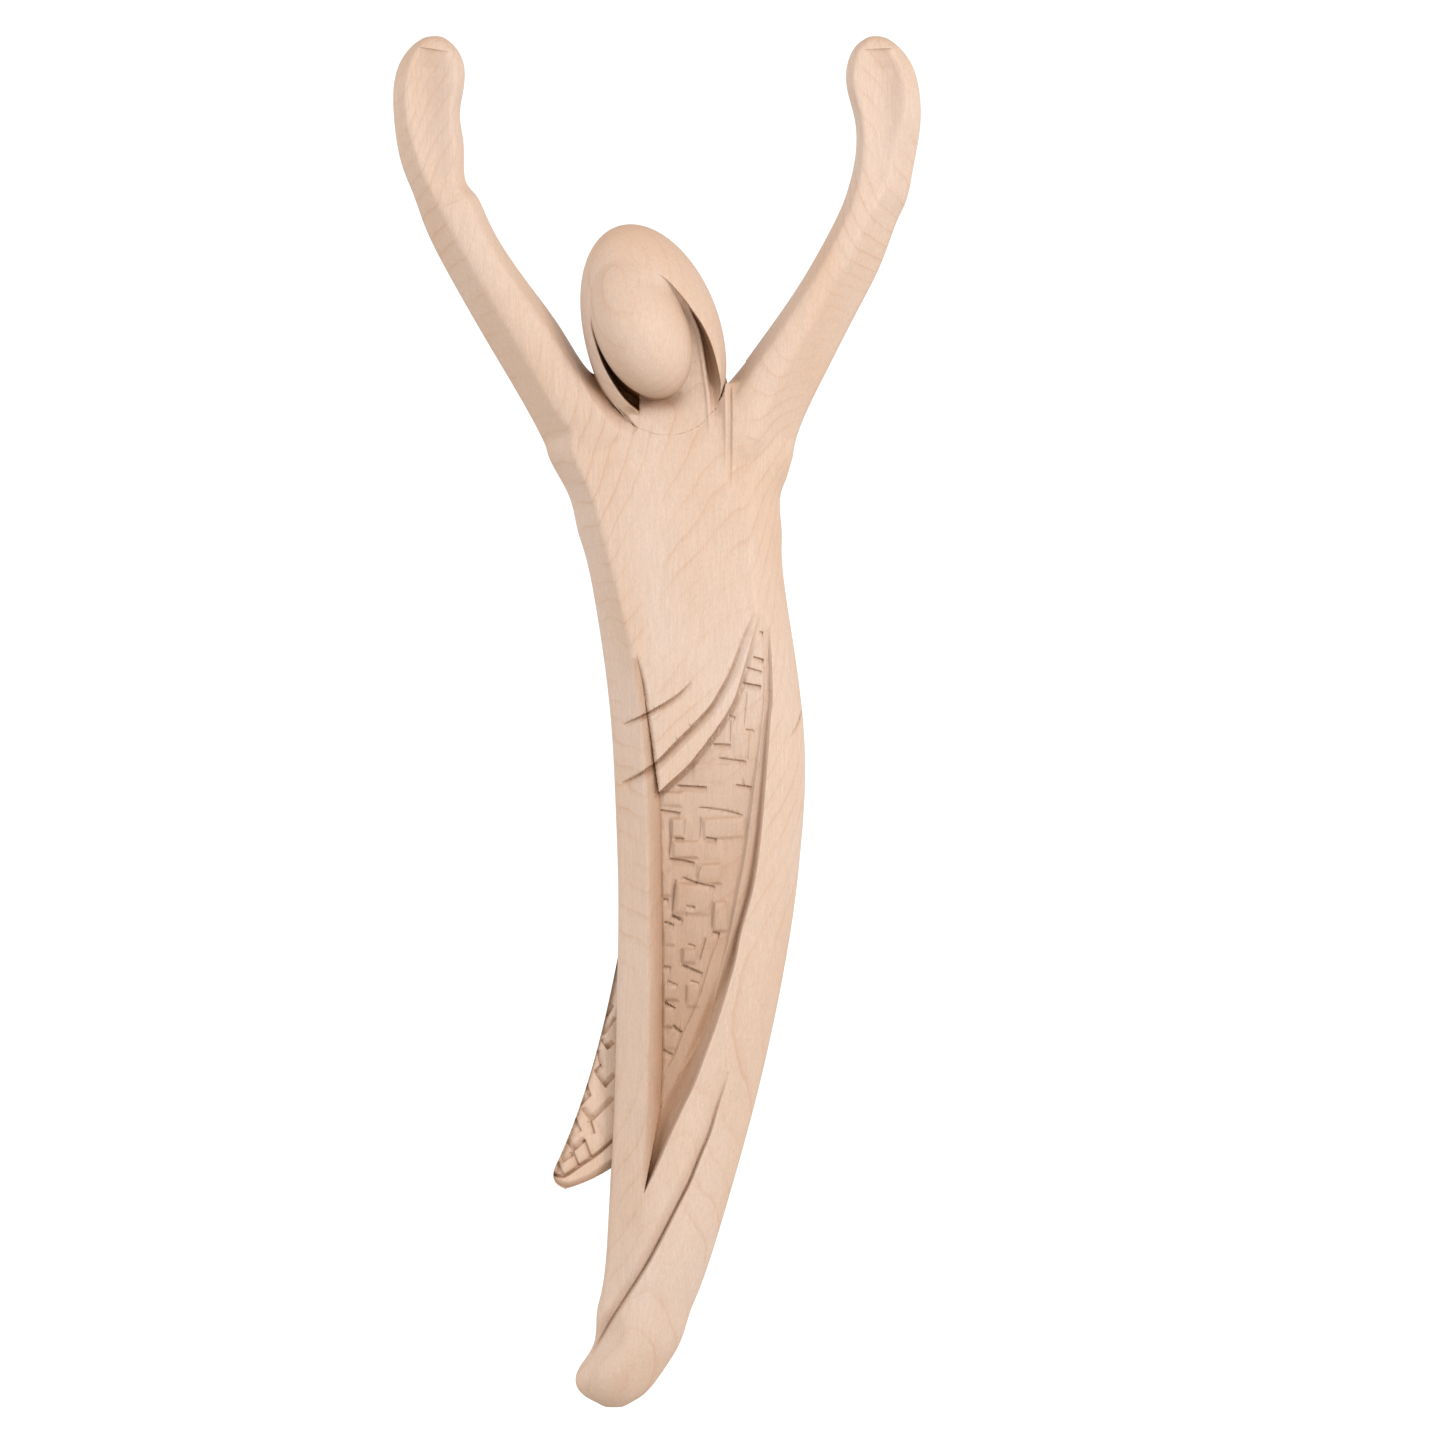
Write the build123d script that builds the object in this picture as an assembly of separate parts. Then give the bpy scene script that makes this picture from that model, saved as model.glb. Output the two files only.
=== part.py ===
"""A wall-hung figure carved in maple: a slim robed person with both arms raised, a hooded head with a
blank egg-shaped face, and the end of the loincloth hanging behind one leg.

The trunk is one carved block. Both arms, the head and the cloth end are carved from blocks of their own
and glued on with dowels, and a steel keyhole plate is let into the back.

Frame: +X is to the right as a viewer sees the figure, +Z is up, and the figure faces -Y. The wall is the
plane y = 0, and the origin is the centre of the keyhole's round entry, in the wall plane. Millimetres.
"""

from build123d import *
import os

# ---- overall sizes ----
figure_height = 400.0  # toes to fingertips
arm_span = 153.5  # from hand to hand
body_depth = 28.0  # wall to the front of the hips

# ---- joints between the carved pieces ----
glue_gap = 0.05  # film of glue around a dowel
arm_dowel_d = 6.0
arm_dowel_length = 26.0
arm_dowel_spacing = 9.0
neck_dowel_d = 7.0
neck_dowel_length = 28.0
cloth_dowel_d = 3.0
cloth_dowel_length = 14.0
cloth_dowel_spacing = 22.0
dowel_chamfer = 0.5

# ---- carving ----
recess_depth = 2.6  # floor of the textured panel below the front
cloth_thickness = 7.5
cloth_back = 4.5  # gap between the wall and the cloth end

# ---- keyhole plate in the back ----
plate_height = 46.0
plate_width = 16.0
plate_thickness = 1.6
plate_clearance = 0.15  # around the plate, in its seat
entry_r = 4.5  # round entry for the wall screw's head
slot_width = 4.6  # for the wall screw's shank
slot_rise = 11.0  # from the entry's centre to the top of the slot's run
plate_above_slot = 17.5  # from there to the plate's upper end
head_room = 6.5  # depth of the pocket behind the plate
head_room_margin = 1.2  # pocket wall outside the keyhole
plate_screw_shank_r = 1.4
plate_screw_head_r = 2.8
plate_screw_length = 14.0
plate_screw_end_margin = 5.0  # screw centre to the plate's end
driver_slot_width = 0.9
driver_slot_depth = 0.9

# The outlines below are written for a figure of these sizes, and every point is scaled from them.
DRAWN_HEIGHT = 400.0
DRAWN_SPAN = 153.5
DRAWN_DEPTH = 28.0
KEYHOLE_BELOW = 30.0  # the outlines' z = 0 is at the shoulders, this far above the keyhole
X_SCALE = arm_span / DRAWN_SPAN
Y_SCALE = body_depth / DRAWN_DEPTH
Z_SCALE = figure_height / DRAWN_HEIGHT


def place(x, depth, z):
    """A drawn point as a point of the figure. depth is how far it stands in front of the wall."""
    return Vector(x * X_SCALE, -depth * Y_SCALE, (z + KEYHOLE_BELOW) * Z_SCALE)


def carved_section(outer, inner, ridge, roll, front, sides, back=0.0):
    """One closed slice across a limb, as a face.

    outer and inner are the (x, z) ends of the slice. ridge and roll are shares of the way from outer to
    inner: the sharp edge where the outer bevel ends, and the edge where the front turns to the inner side.
    front holds the depths at the ridge, the middle and the roll. sides holds the depths of both edges.
    """
    (xo, zo), (xi, zi) = outer, inner

    def at(share, depth):
        return place(xo + (xi - xo) * share, depth, zo + (zi - zo) * share)

    ridge_depth, middle_depth, roll_depth = front
    outer_side, inner_side = sides
    a, b, d, e = at(0, outer_side), at(ridge, ridge_depth), at(roll, roll_depth), at(1, inner_side)
    middle = at((ridge + roll) / 2, middle_depth)
    back_inner, back_outer = at(0.86, back), at(0.14, back)
    inner_swell = at(0.6 + 0.4 * roll, roll_depth + (inner_side - roll_depth) * 0.42)
    edges = [
        Edge.make_line(a, b),
        Edge.make_spline([b, middle, d]),
        Edge.make_spline([d, inner_swell, e]),
        Edge.make_spline([e, at(0.97, back + (inner_side - back) * 0.35), back_inner]),
        Edge.make_line(back_inner, back_outer),
        Edge.make_spline([back_outer, at(0.03, back + (outer_side - back) * 0.35), a]),
    ]
    return Face(Wire(edges))


# Slices of the trunk from the neck to the toes:
# (z, left edge, left ridge, right ridge, right edge, depths of the front, depths of the sides, back)
# A back below 0 stands behind the wall plane, and is sawn off flat there.
TRUNK = [
    (31.0, -25.4, -20.0, 11.0, 16.6, (19, 20, 19), (12, 12), 6),
    (26.0, -27.5, -21.0, 14.0, 22.0, (21, 22, 21), (12, 12), 3),
    (19.2, -33.0, -26.0, 17.0, 29.0, (22, 23.5, 22.5), (13, 13), -0.6),
    (11.6, -37.6, -30.0, 20.0, 34.4, (23, 24.5, 24), (13, 13), -0.6),
    (0.0, -33.1, -26.4, 21.3, 31.8, (24, 26, 25), (13, 13), -0.6),
    (-11.6, -29.0, -22.4, 21.4, 30.8, (24.5, 26.5, 25.5), (13, 13), -0.6),
    (-26.1, -25.0, -18.4, 22.4, 31.3, (25, 27, 26), (13.5, 13), -0.6),
    (-40.6, -22.3, -14.8, 24.2, 33.3, (25.5, 27, 26.5), (15, 13), -0.6),
    (-58.1, -19.7, -11.4, 26.4, 35.9, (26, 27.5, 27), (17, 13), -0.6),
    (-75.5, -18.0, -9.5, 26.4, 37.6, (26.5, 28, 27.5), (18.5, 13), -0.6),
    (-92.9, -17.1, -8.4, 24.9, 37.6, (26.5, 28, 27.5), (19, 13), -0.6),
    (-116.0, -16.3, -7.8, 22.6, 35.6, (26, 27.5, 27), (19, 13), -0.6),
    (-139.3, -16.4, -7.5, 18.4, 32.2, (25, 26.5, 26.5), (18.5, 12.5), -0.6),
    (-162.6, -16.9, -7.6, 11.8, 27.6, (24, 25.5, 25.5), (17.5, 12), -0.6),
    (-185.8, -17.7, -8.0, 4.0, 22.0, (22.5, 24, 24.3), (16, 11.5), -0.6),
    (-209.0, -18.9, -9.3, 0.6, 15.5, (21, 22.5, 22.8), (15, 11), -0.6),
    (-232.2, -20.6, -12.0, -5.5, 8.3, (19.5, 21, 21.2), (13.5, 10.5), 0.8),
    (-246.0, -22.9, -15.5, -9.5, 3.2, (18.5, 19.8, 19.8), (12.5, 10), 2),
    (-254.0, -24.8, -18.0, -11.6, 0.1, (17.5, 18.8, 18.8), (11.5, 9.5), 3),
    (-259.0, -28.2, -21.5, -13.6, -3.1, (16.5, 17.8, 17.8), (11, 9.5), 3.6),
    (-264.2, -28.8, -22.5, -15.0, -6.8, (14.8, 16.2, 16), (10.5, 9.5), 4.6),
    (-268.0, -24.8, -21.5, -15.5, -11.2, (12.8, 13.6, 13.2), (10, 9.5), 6),
    (-270.2, -21.0, -19.6, -16.6, -14.8, (10.6, 11, 10.8), (9.4, 9.4), 8),
]


def trunk_blank(lowered=0.0):
    """The trunk as one loft through its slices, with the front lowered by that many drawn millimetres."""
    faces = []
    for z, left, left_ridge, right_ridge, right, front, sides, back in TRUNK:
        width = right - left
        share = ((left_ridge - left) / width, (right_ridge - left) / width)
        depths = [max(d - lowered, back + 3) for d in front]
        faces.append(carved_section((left, z), (right, z), *share, depths, sides, back))
    return loft(faces)


# Slices along each arm, from inside the chest to the fingertips:
# (outer edge, inner edge, ridge, roll, depths of the front, depths of the sides, back)
LEFT_ARM = [
    ((-33.5, 1.5), (-6.5, 19.0), 0.26, 0.84, (23.5, 25, 24), (13, 13), 1),
    ((-38.2, 11.6), (-14.5, 26.0), 0.29, 0.84, (23, 24.5, 23.5), (13, 13), 1),
    ((-42.1, 19.2), (-24.2, 31.0), 0.31, 0.84, (22.5, 24, 23), (13, 13), 1),
    ((-48.8, 30.8), (-31.5, 41.3), 0.33, 0.84, (22, 23.4, 22.4), (13, 13), 2),
    ((-55.7, 42.4), (-39.0, 52.3), 0.35, 0.84, (21.6, 22.8, 22), (13, 13), 3),
    ((-62.4, 54.0), (-47.1, 63.3), 0.37, 0.84, (21.2, 22.2, 21.6), (13, 13), 4),
    ((-68.8, 65.6), (-53.9, 74.6), 0.38, 0.84, (20.8, 21.6, 21.2), (13, 13), 5),
    ((-74.0, 77.2), (-58.5, 83.8), 0.35, 0.84, (20.6, 21.2, 20.8), (13, 13.5), 5.5),
    ((-78.4, 88.8), (-61.6, 93.4), 0.30, 0.86, (20.4, 20.6, 20.4), (13.5, 14), 6),
    ((-81.3, 100.4), (-62.6, 103.9), 0.24, 0.88, (20.4, 20, 20.2), (14, 14), 6.5),
    ((-82.1, 110.3), (-62.2, 111.5), 0.20, 0.90, (20.4, 19.6, 20.2), (14.3, 14.3), 7),
    ((-81.7, 117.0), (-61.3, 119.0), 0.20, 0.90, (20.2, 19.6, 20), (14.3, 14.3), 7.5),
    ((-79.8, 122.6), (-62.8, 124.6), 0.22, 0.86, (19.6, 19.4, 19.4), (14.2, 14.2), 8.2),
    ((-76.2, 127.2), (-65.6, 128.0), 0.26, 0.80, (18.2, 18.2, 18.2), (13.8, 13.8), 9.5),
    ((-72.8, 129.4), (-68.2, 129.6), 0.30, 0.70, (15.6, 15.8, 15.6), (13.2, 13.2), 11.2),
]
RIGHT_ARM = [
    ((31.6, -1.0), (5.0, 16.5), 0.38, 0.84, (25, 25.5, 24), (13, 13), 1),
    ((34.9, 11.6), (12.0, 23.0), 0.42, 0.84, (24.2, 24.8, 23.5), (13, 13), 1),
    ((38.1, 20.3), (17.6, 30.6), 0.46, 0.84, (23.4, 24, 23), (13, 13), 1),
    ((43.4, 31.0), (24.2, 39.8), 0.48, 0.84, (22.8, 23.4, 22.4), (13, 13), 2),
    ((49.2, 42.4), (32.2, 51.0), 0.50, 0.84, (22.2, 22.8, 22), (13, 13), 3),
    ((55.3, 54.0), (39.4, 62.3), 0.50, 0.84, (21.6, 22.2, 21.6), (13, 13), 4),
    ((60.8, 65.6), (45.6, 73.6), 0.48, 0.84, (21.2, 21.6, 21.2), (13, 13), 5),
    ((65.2, 77.2), (50.0, 83.6), 0.44, 0.84, (20.8, 21.2, 20.8), (13, 13.5), 5.5),
    ((68.9, 88.8), (52.4, 93.2), 0.38, 0.86, (20.4, 20.6, 20.4), (13.5, 14), 6),
    ((71.0, 100.4), (52.8, 102.4), 0.30, 0.88, (20.4, 20, 20.2), (14, 14), 6.5),
    ((71.5, 109.6), (51.2, 110.0), 0.22, 0.90, (20.4, 19.6, 20.2), (14.3, 14.3), 7),
    ((70.3, 117.6), (49.8, 117.2), 0.20, 0.90, (20.2, 19.6, 20), (14.3, 14.3), 7.5),
    ((67.6, 123.6), (51.2, 124.4), 0.22, 0.86, (19.6, 19.4, 19.4), (14.2, 14.2), 8.2),
    ((63.9, 127.6), (54.0, 128.0), 0.26, 0.80, (18.2, 18.2, 18.2), (13.8, 13.8), 9.5),
    ((60.7, 129.4), (56.6, 129.6), 0.30, 0.70, (15.6, 15.8, 15.6), (13.2, 13.2), 11.2),
]
LEFT_JOINT = ((-42.1, 19.2), (-24.2, 31.0))  # shoulder joint, outer edge to inner edge
RIGHT_JOINT = ((38.1, 20.3), (17.6, 30.6))


def arm_blank(slices):
    return loft([carved_section(*one) for one in slices])


def joint_plane(joint):
    """The plane of a shoulder's glue joint: its origin is mid-joint, its z axis points out along the arm."""
    (xo, zo), (xi, zi) = joint
    outer, inner = place(xo, 0, zo), place(xi, 0, zi)
    middle = (outer + inner) / 2 + Vector(0, -12.5 * Y_SCALE, 0)
    across = (inner - outer).normalized()
    outward = Vector(0, 1, 0).cross(across)
    if outward.Z < 0:
        outward = -outward
    return Plane(origin=middle, x_dir=across, z_dir=outward)


def beyond(plane, size):
    """A block that holds everything on the far side of a plane, near its origin."""
    return plane * Box(size, size, size, align=(Align.CENTER, Align.CENTER, Align.MIN))


def dowel_row(plane, diameter, length, spacing, count=2):
    """Dowels across a joint, centred on its plane and spaced along its x axis."""
    rod = Cylinder(diameter / 2, length)
    rod = chamfer(rod.edges().filter_by(GeomType.CIRCLE), dowel_chamfer)
    first = -spacing * (count - 1) / 2
    return [plane * Pos(first + spacing * i, 0, 0) * rod for i in range(count)]


def dowel_holes(plane, diameter, length, spacing, count=2):
    hole = Cylinder(diameter / 2 + glue_gap, length + 2 * glue_gap)
    first = -spacing * (count - 1) / 2
    return [plane * Pos(first + spacing * i, 0, 0) * hole for i in range(count)]


def flat_outline(points, depth_from, depth_to):
    """A closed front-view outline given as groups of (x, z) points, one smooth curve a group, made into a prism."""
    curves = []
    for group in points:
        corners = [place(x, depth_from, z) for x, z in group]
        curves.append(Edge.make_spline(corners) if len(corners) > 2 else Edge.make_line(*corners))
    face = Face(Wire(curves))
    return extrude(face, amount=(depth_to - depth_from) * Y_SCALE, dir=(0, -1, 0))


# Front view of the sunk panel between the legs: up the left wall, along the sash, and down the right fold.
PANEL = [
    [(-4.6, -183.0), (-4.8, -150.0), (-4.6, -120.0), (-5.2, -91.0)],
    [(-5.2, -91.0), (1.5, -84.4), (9.0, -76.4), (15.6, -66.4), (20.6, -54.4), (25.6, -41.0)],
    [(25.6, -41.0), (26.4, -58.0), (25.8, -75.5), (23.0, -104.0), (18.0, -136.0), (11.6, -161.0)],
    [(11.6, -161.0), (4.4, -176.0), (-4.6, -183.0)],
]


def ellipsoid(centre, axes, lean, nod=0.0):
    """An ellipsoid with drawn half-axes (across, deep, long), leaning in the front view, chin nodding forward."""
    across, deep, long = axes
    ball = scale(Sphere(1.0), by=(across * X_SCALE, deep * Y_SCALE, long * Z_SCALE))
    return Pos(*place(*centre)) * Rot(0, -lean, 0) * Rot(nod, 0, 0) * ball


HEAD_LEAN = 18.0  # the head leans over, chin towards +X
NECK_DOWEL = (1.5, 14.5, 12.5)  # its middle
# Slices of the lock of hair that runs from the hood down the chest: (centre x, z, half width, depth, back)
LOCK = [
    (7.5, 46.0, 4.0, 22.0, 14.0),
    (10.2, 38.0, 4.6, 25.0, 14.0),
    (11.7, 31.0, 4.4, 26.4, 14.0),
    (13.2, 20.0, 3.8, 27.4, 16.0),
    (14.4, 11.0, 2.8, 27.4, 18.0),
    (15.2, 0.0, 1.6, 27.2, 21.0),
    (15.4, -8.0, 0.7, 27.0, 23.5),
    (15.4, -12.0, 0.3, 26.8, 24.5),
]
LOCK_CUT = 28.0  # the lock stops here, beside the hood


def lock_slice(x, z, half, depth, back):
    left, right = place(x - half, back, z), place(x + half, back, z)
    return Face(Wire([Edge.make_line(right, left), Edge.make_spline([left, place(x, depth, z), right])]))


def make_lock():
    """The lock of hair, carved on the trunk: it stops at the head's joint."""
    size = 4 * body_depth
    above = Pos(*place(0, 0, LOCK_CUT)) * Box(size, size, size, align=(Align.CENTER, Align.CENTER, Align.MIN))
    return loft([lock_slice(*one) for one in LOCK]) - above


def make_hood():
    """The hood's outer shape: an egg that leans over."""
    return ellipsoid((-5.8, 18.5, 43.2), (19.6, 17.0, 32.4), HEAD_LEAN)


def make_head():
    """The hood with its hollow and the blank egg of the face standing in it."""
    hollow = ellipsoid((-5.4, 32.0, 37.5), (14.6, 14.0, 26.0), HEAD_LEAN, 6)
    face = ellipsoid((-9.4, 26.0, 44.2), (14.4, 14.0, 21.0), HEAD_LEAN - 2, 8)
    return make_hood() - hollow + face


# Front view of the hanging cloth end: its outer edge, the slanting hem, and the tongue inside the leg.
CLOTH = [
    [(-11.0, -134.0), (-16.4, -137.0)],
    [(-16.4, -137.0), (-20.6, -157.0), (-27.4, -181.0), (-35.0, -200.0)],
    [(-35.0, -200.0), (-35.4, -203.6), (-32.0, -206.4)],
    [(-32.0, -206.4), (-24.0, -203.4), (-13.0, -196.0)],
    [(-13.0, -196.0), (-11.0, -134.0)],
]
CLOTH_DOWELS = (-12.0, -165.0)  # their middle, on the tongue's edge


def make_cloth_end():
    """A flat board whose inner edge is a tongue glued into a groove down the side of the leg."""
    return flat_outline(CLOTH, cloth_back / Y_SCALE, (cloth_back + cloth_thickness) / Y_SCALE)


def keyhole(radius, half_slot, rise, thickness):
    """A keyhole-shaped plug standing on the plane z = 0: a round entry with a slot running up (+Y) from it."""
    round_entry = Cylinder(radius, thickness, align=(Align.CENTER, Align.CENTER, Align.MIN))
    run = Pos(0, rise / 2, 0) * Box(2 * half_slot, rise, thickness, align=(Align.CENTER, Align.CENTER, Align.MIN))
    top = Pos(0, rise, 0) * Cylinder(half_slot, thickness, align=(Align.CENTER, Align.CENTER, Align.MIN))
    return round_entry + run + top


# The plate's own plane lies in the wall plane: x is the figure's -X, y is up, and z points out of the back.
BACK = Plane(origin=(0, 0, 0), x_dir=(-1, 0, 0), z_dir=(0, 1, 0))
plate_centre_z = slot_rise + plate_above_slot - plate_height / 2
screw_z = [plate_centre_z + side * (plate_height / 2 - plate_screw_end_margin) for side in (-1, 1)]


def plate_plug(grow, thickness):
    """The plate's outline, grown by a clearance, from the wall plane into the wood."""
    flat = RectangleRounded(plate_width + 2 * grow, plate_height + 2 * grow, plate_width / 2 - 0.5)
    return BACK * Pos(0, plate_centre_z, -thickness) * extrude(flat, thickness)


def make_plate():
    plate = plate_plug(0, plate_thickness)
    plate -= BACK * Pos(0, 0, -plate_thickness) * keyhole(entry_r, slot_width / 2, slot_rise, plate_thickness)
    for z in screw_z:
        sink = Cone(plate_screw_shank_r, plate_screw_head_r, plate_thickness)
        plate -= BACK * Pos(0, z, -plate_thickness / 2) * sink
    return plate


def make_plate_screw(z):
    """A countersunk wood screw, flush with the plate, with one driver slot."""
    head = BACK * Pos(0, z, -plate_thickness / 2) * Cone(plate_screw_shank_r, plate_screw_head_r, plate_thickness)
    shank_length = plate_screw_length - plate_thickness
    tip_length = 2 * plate_screw_shank_r
    shank = Cylinder(plate_screw_shank_r, shank_length - tip_length, align=(Align.CENTER, Align.CENTER, Align.MAX))
    tip = Cone(0.2, plate_screw_shank_r, tip_length, align=(Align.CENTER, Align.CENTER, Align.MAX))
    stem = BACK * Pos(0, z, -plate_thickness) * (shank + Pos(0, 0, tip_length - shank_length) * tip)
    cut = BACK * Pos(0, z, 0) * Box(3 * plate_screw_head_r, driver_slot_width, 2 * driver_slot_depth)
    return head + stem - cut


def plate_seat():
    """What is cut out of the back: the plate's bed, room behind the keyhole, and the screws' holes."""
    seat = plate_plug(plate_clearance, plate_thickness)
    deep = plate_thickness + head_room
    room = keyhole(entry_r + head_room_margin, entry_r + head_room_margin, slot_rise, deep)
    seat += BACK * Pos(0, 0, -deep) * room
    for z in screw_z:
        pilot_depth = plate_screw_length + 0.5
        pilot = Cylinder(plate_screw_shank_r, pilot_depth, align=(Align.CENTER, Align.CENTER, Align.MAX))
        seat += BACK * Pos(0, z, 0) * pilot
    return seat


def joint_planes():
    """Where each row of dowels crosses its joint: the plane, then the dowels' size, length, pitch and count."""
    shoulder = (arm_dowel_d, arm_dowel_length, arm_dowel_spacing, 2)
    neck = Plane(origin=place(*NECK_DOWEL), x_dir=(1, 0, 0), z_dir=(0, 0, 1))
    x, z = CLOTH_DOWELS
    middle = place(x, 0, z) - Vector(0, cloth_back + cloth_thickness / 2, 0)
    cloth = Plane(origin=middle, x_dir=(0, 0, 1), z_dir=(1, 0, 0))
    return {
        "left_shoulder_dowels": (joint_plane(LEFT_JOINT), *shoulder),
        "right_shoulder_dowels": (joint_plane(RIGHT_JOINT), *shoulder),
        "neck_dowel": (neck, neck_dowel_d, neck_dowel_length, 0, 1),
        "cloth_end_dowels": (cloth, cloth_dowel_d, cloth_dowel_length, cloth_dowel_spacing, 2),
    }


def make_parts():
    """Every piece of the figure, by name."""
    rows = joint_planes()
    left_plane, right_plane = rows["left_shoulder_dowels"][0], rows["right_shoulder_dowels"][0]
    reach = 210.0 * max(X_SCALE, Z_SCALE)
    left_full, right_full = arm_blank(LEFT_ARM), arm_blank(RIGHT_ARM)
    left_side, right_side = beyond(left_plane, reach), beyond(right_plane, reach)

    trunk = trunk_blank()
    in_front = DRAWN_DEPTH + 10
    trunk -= flat_outline(PANEL, 8, in_front) - trunk_blank(recess_depth / Y_SCALE)
    trunk += left_full - left_side
    trunk += right_full - right_side
    trunk += make_lock()
    trunk -= Pos(0, reach / 2, 0) * Box(reach, reach, 2 * figure_height)

    wood = {
        "left_arm": left_full & left_side,
        "right_arm": right_full & right_side,
        "head": make_head(),
        "cloth_end": make_cloth_end(),
    }
    trunk = trunk - wood["left_arm"] - wood["right_arm"] - make_hood() - wood["cloth_end"] - plate_seat()

    holes = {name: dowel_holes(*row) for name, row in rows.items()}
    pairs = {
        "left_arm": "left_shoulder_dowels",
        "right_arm": "right_shoulder_dowels",
        "head": "neck_dowel",
        "cloth_end": "cloth_end_dowels",
    }
    for name, joint in pairs.items():
        wood[name] -= holes[joint]
        trunk -= holes[joint]

    parts = {"trunk": trunk, **wood}
    for name, row in rows.items():
        parts[name] = Compound(children=dowel_row(*row))
    parts["keyhole_plate"] = make_plate()
    parts["plate_screws"] = Compound(children=[make_plate_screw(z) for z in screw_z])
    return parts


def main():
    os.makedirs("parts", exist_ok=True)
    for name, shape in make_parts().items():
        export_step(shape, f"parts/{name}.step")
        print(f"{name}: {len(shape.solids())} solid(s), {shape.volume / 1000:.2f} cm3")


main()
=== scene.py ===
# %% [markdown]
# # A carved maple wall figure
# A slim robed person, 400 mm tall, cut from pale maple and left bare: both arms raised, a hooded head with
# a blank egg for a face, a diagonal sash, a panel cut like coarse woven cloth, and the end of the loincloth
# standing out behind one leg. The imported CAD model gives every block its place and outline. This script
# takes copies of those blocks, carves them as a carver would, and gives the wood its rings and pores.

import math

import bmesh
import bpy
import numpy as np
from mathutils import Matrix, Vector
from mathutils.bvhtree import BVHTree


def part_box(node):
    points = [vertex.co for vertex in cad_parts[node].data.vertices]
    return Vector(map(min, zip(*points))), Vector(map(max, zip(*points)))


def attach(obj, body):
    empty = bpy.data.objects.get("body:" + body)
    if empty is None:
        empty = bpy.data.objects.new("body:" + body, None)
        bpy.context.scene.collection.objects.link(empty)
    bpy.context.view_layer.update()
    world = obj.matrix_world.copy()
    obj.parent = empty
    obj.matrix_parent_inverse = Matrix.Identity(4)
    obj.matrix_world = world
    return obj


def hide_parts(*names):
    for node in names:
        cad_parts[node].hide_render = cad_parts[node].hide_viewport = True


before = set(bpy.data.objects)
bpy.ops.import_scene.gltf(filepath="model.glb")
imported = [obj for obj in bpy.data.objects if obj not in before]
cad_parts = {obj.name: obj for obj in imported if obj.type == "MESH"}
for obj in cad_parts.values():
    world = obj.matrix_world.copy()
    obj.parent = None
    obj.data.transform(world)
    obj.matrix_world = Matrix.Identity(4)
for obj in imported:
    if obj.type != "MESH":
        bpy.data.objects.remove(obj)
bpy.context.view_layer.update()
print("nodes:", sorted(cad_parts))

# %% [markdown]
# ## Units and the drawing
# The carving is worked out in millimetres, on the figure's own front view: x to the right, z up, with z = 0
# at the shoulders, which are 30 mm above the keyhole that the model is measured from. Depth is how far a
# point stands in front of the wall.

# %% Units
MM = 0.001
SHOULDERS = 30.0


def drawn(points):
    """Model positions in metres as drawing positions in millimetres: x, depth, z."""
    return np.column_stack((points[:, 0] / MM, -points[:, 1] / MM, points[:, 2] / MM - SHOULDERS))


def modelled(points):
    """The way back: drawing positions in millimetres as model positions in metres."""
    return np.column_stack((points[:, 0], -points[:, 1], points[:, 2] + SHOULDERS)) * MM


# %% [markdown]
# ## Meshes as arrays
# A carved surface has a few hundred thousand small triangles, so its points and triangles are kept as
# arrays while it is worked on.

# %% Mesh helpers
def to_arrays(mesh):
    """A mesh's points, and its triangles as point numbers."""
    mesh.calc_loop_triangles()
    points = np.empty(len(mesh.vertices) * 3)
    mesh.vertices.foreach_get("co", points)
    triangles = np.empty(len(mesh.loop_triangles) * 3, dtype=np.int64)
    mesh.loop_triangles.foreach_get("vertices", triangles)
    return points.reshape(-1, 3), triangles.reshape(-1, 3)


def to_mesh(name, points, triangles):
    """A smooth-shaded mesh from points in metres and triangles."""
    mesh = bpy.data.meshes.new(name)
    mesh.vertices.add(len(points))
    mesh.vertices.foreach_set("co", points.ravel())
    mesh.loops.add(triangles.size)
    mesh.loops.foreach_set("vertex_index", triangles.ravel().astype(np.int32))
    mesh.polygons.add(len(triangles))
    mesh.polygons.foreach_set("loop_start", np.arange(0, triangles.size, 3, dtype=np.int32))
    mesh.update(calc_edges=True)
    mesh.validate()
    mesh.polygons.foreach_set("use_smooth", np.ones(len(triangles), dtype=bool))
    return mesh


def add_object(name, mesh):
    thing = bpy.data.objects.new(name, mesh)
    bpy.context.scene.collection.objects.link(thing)
    return thing


def finished(bm, name):
    """Turns a bmesh that is done into a mesh."""
    mesh = bpy.data.meshes.new(name)
    bm.to_mesh(mesh)
    bm.free()
    return mesh


def joined_copy(name, node_names, extra=()):
    """One mesh that holds copies of several CAD nodes."""
    bm = bmesh.new()
    for node in node_names:
        bm.from_mesh(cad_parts[node].data)
    for mesh in extra:
        bm.from_mesh(mesh)
    return add_object(name, finished(bm, name))


def apply_modifiers(thing):
    """Replaces the object's mesh by what its modifiers make of it."""
    evaluated = thing.evaluated_get(bpy.context.evaluated_depsgraph_get())
    mesh = bpy.data.meshes.new_from_object(evaluated)
    thing.modifiers.clear()
    old, thing.data = thing.data, mesh
    bpy.data.meshes.remove(old)
    return mesh


def remeshed(thing, voxel_mm, smoothing=0):
    """An even skin of small quads over everything in the object, which also joins solids that touch."""
    remesh = thing.modifiers.new("remesh", "REMESH")
    remesh.mode = "VOXEL"
    remesh.voxel_size = voxel_mm * MM
    if smoothing:
        smooth = thing.modifiers.new("smooth", "SMOOTH")
        smooth.iterations = smoothing
        smooth.factor = 0.5
    return apply_modifiers(thing)


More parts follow.
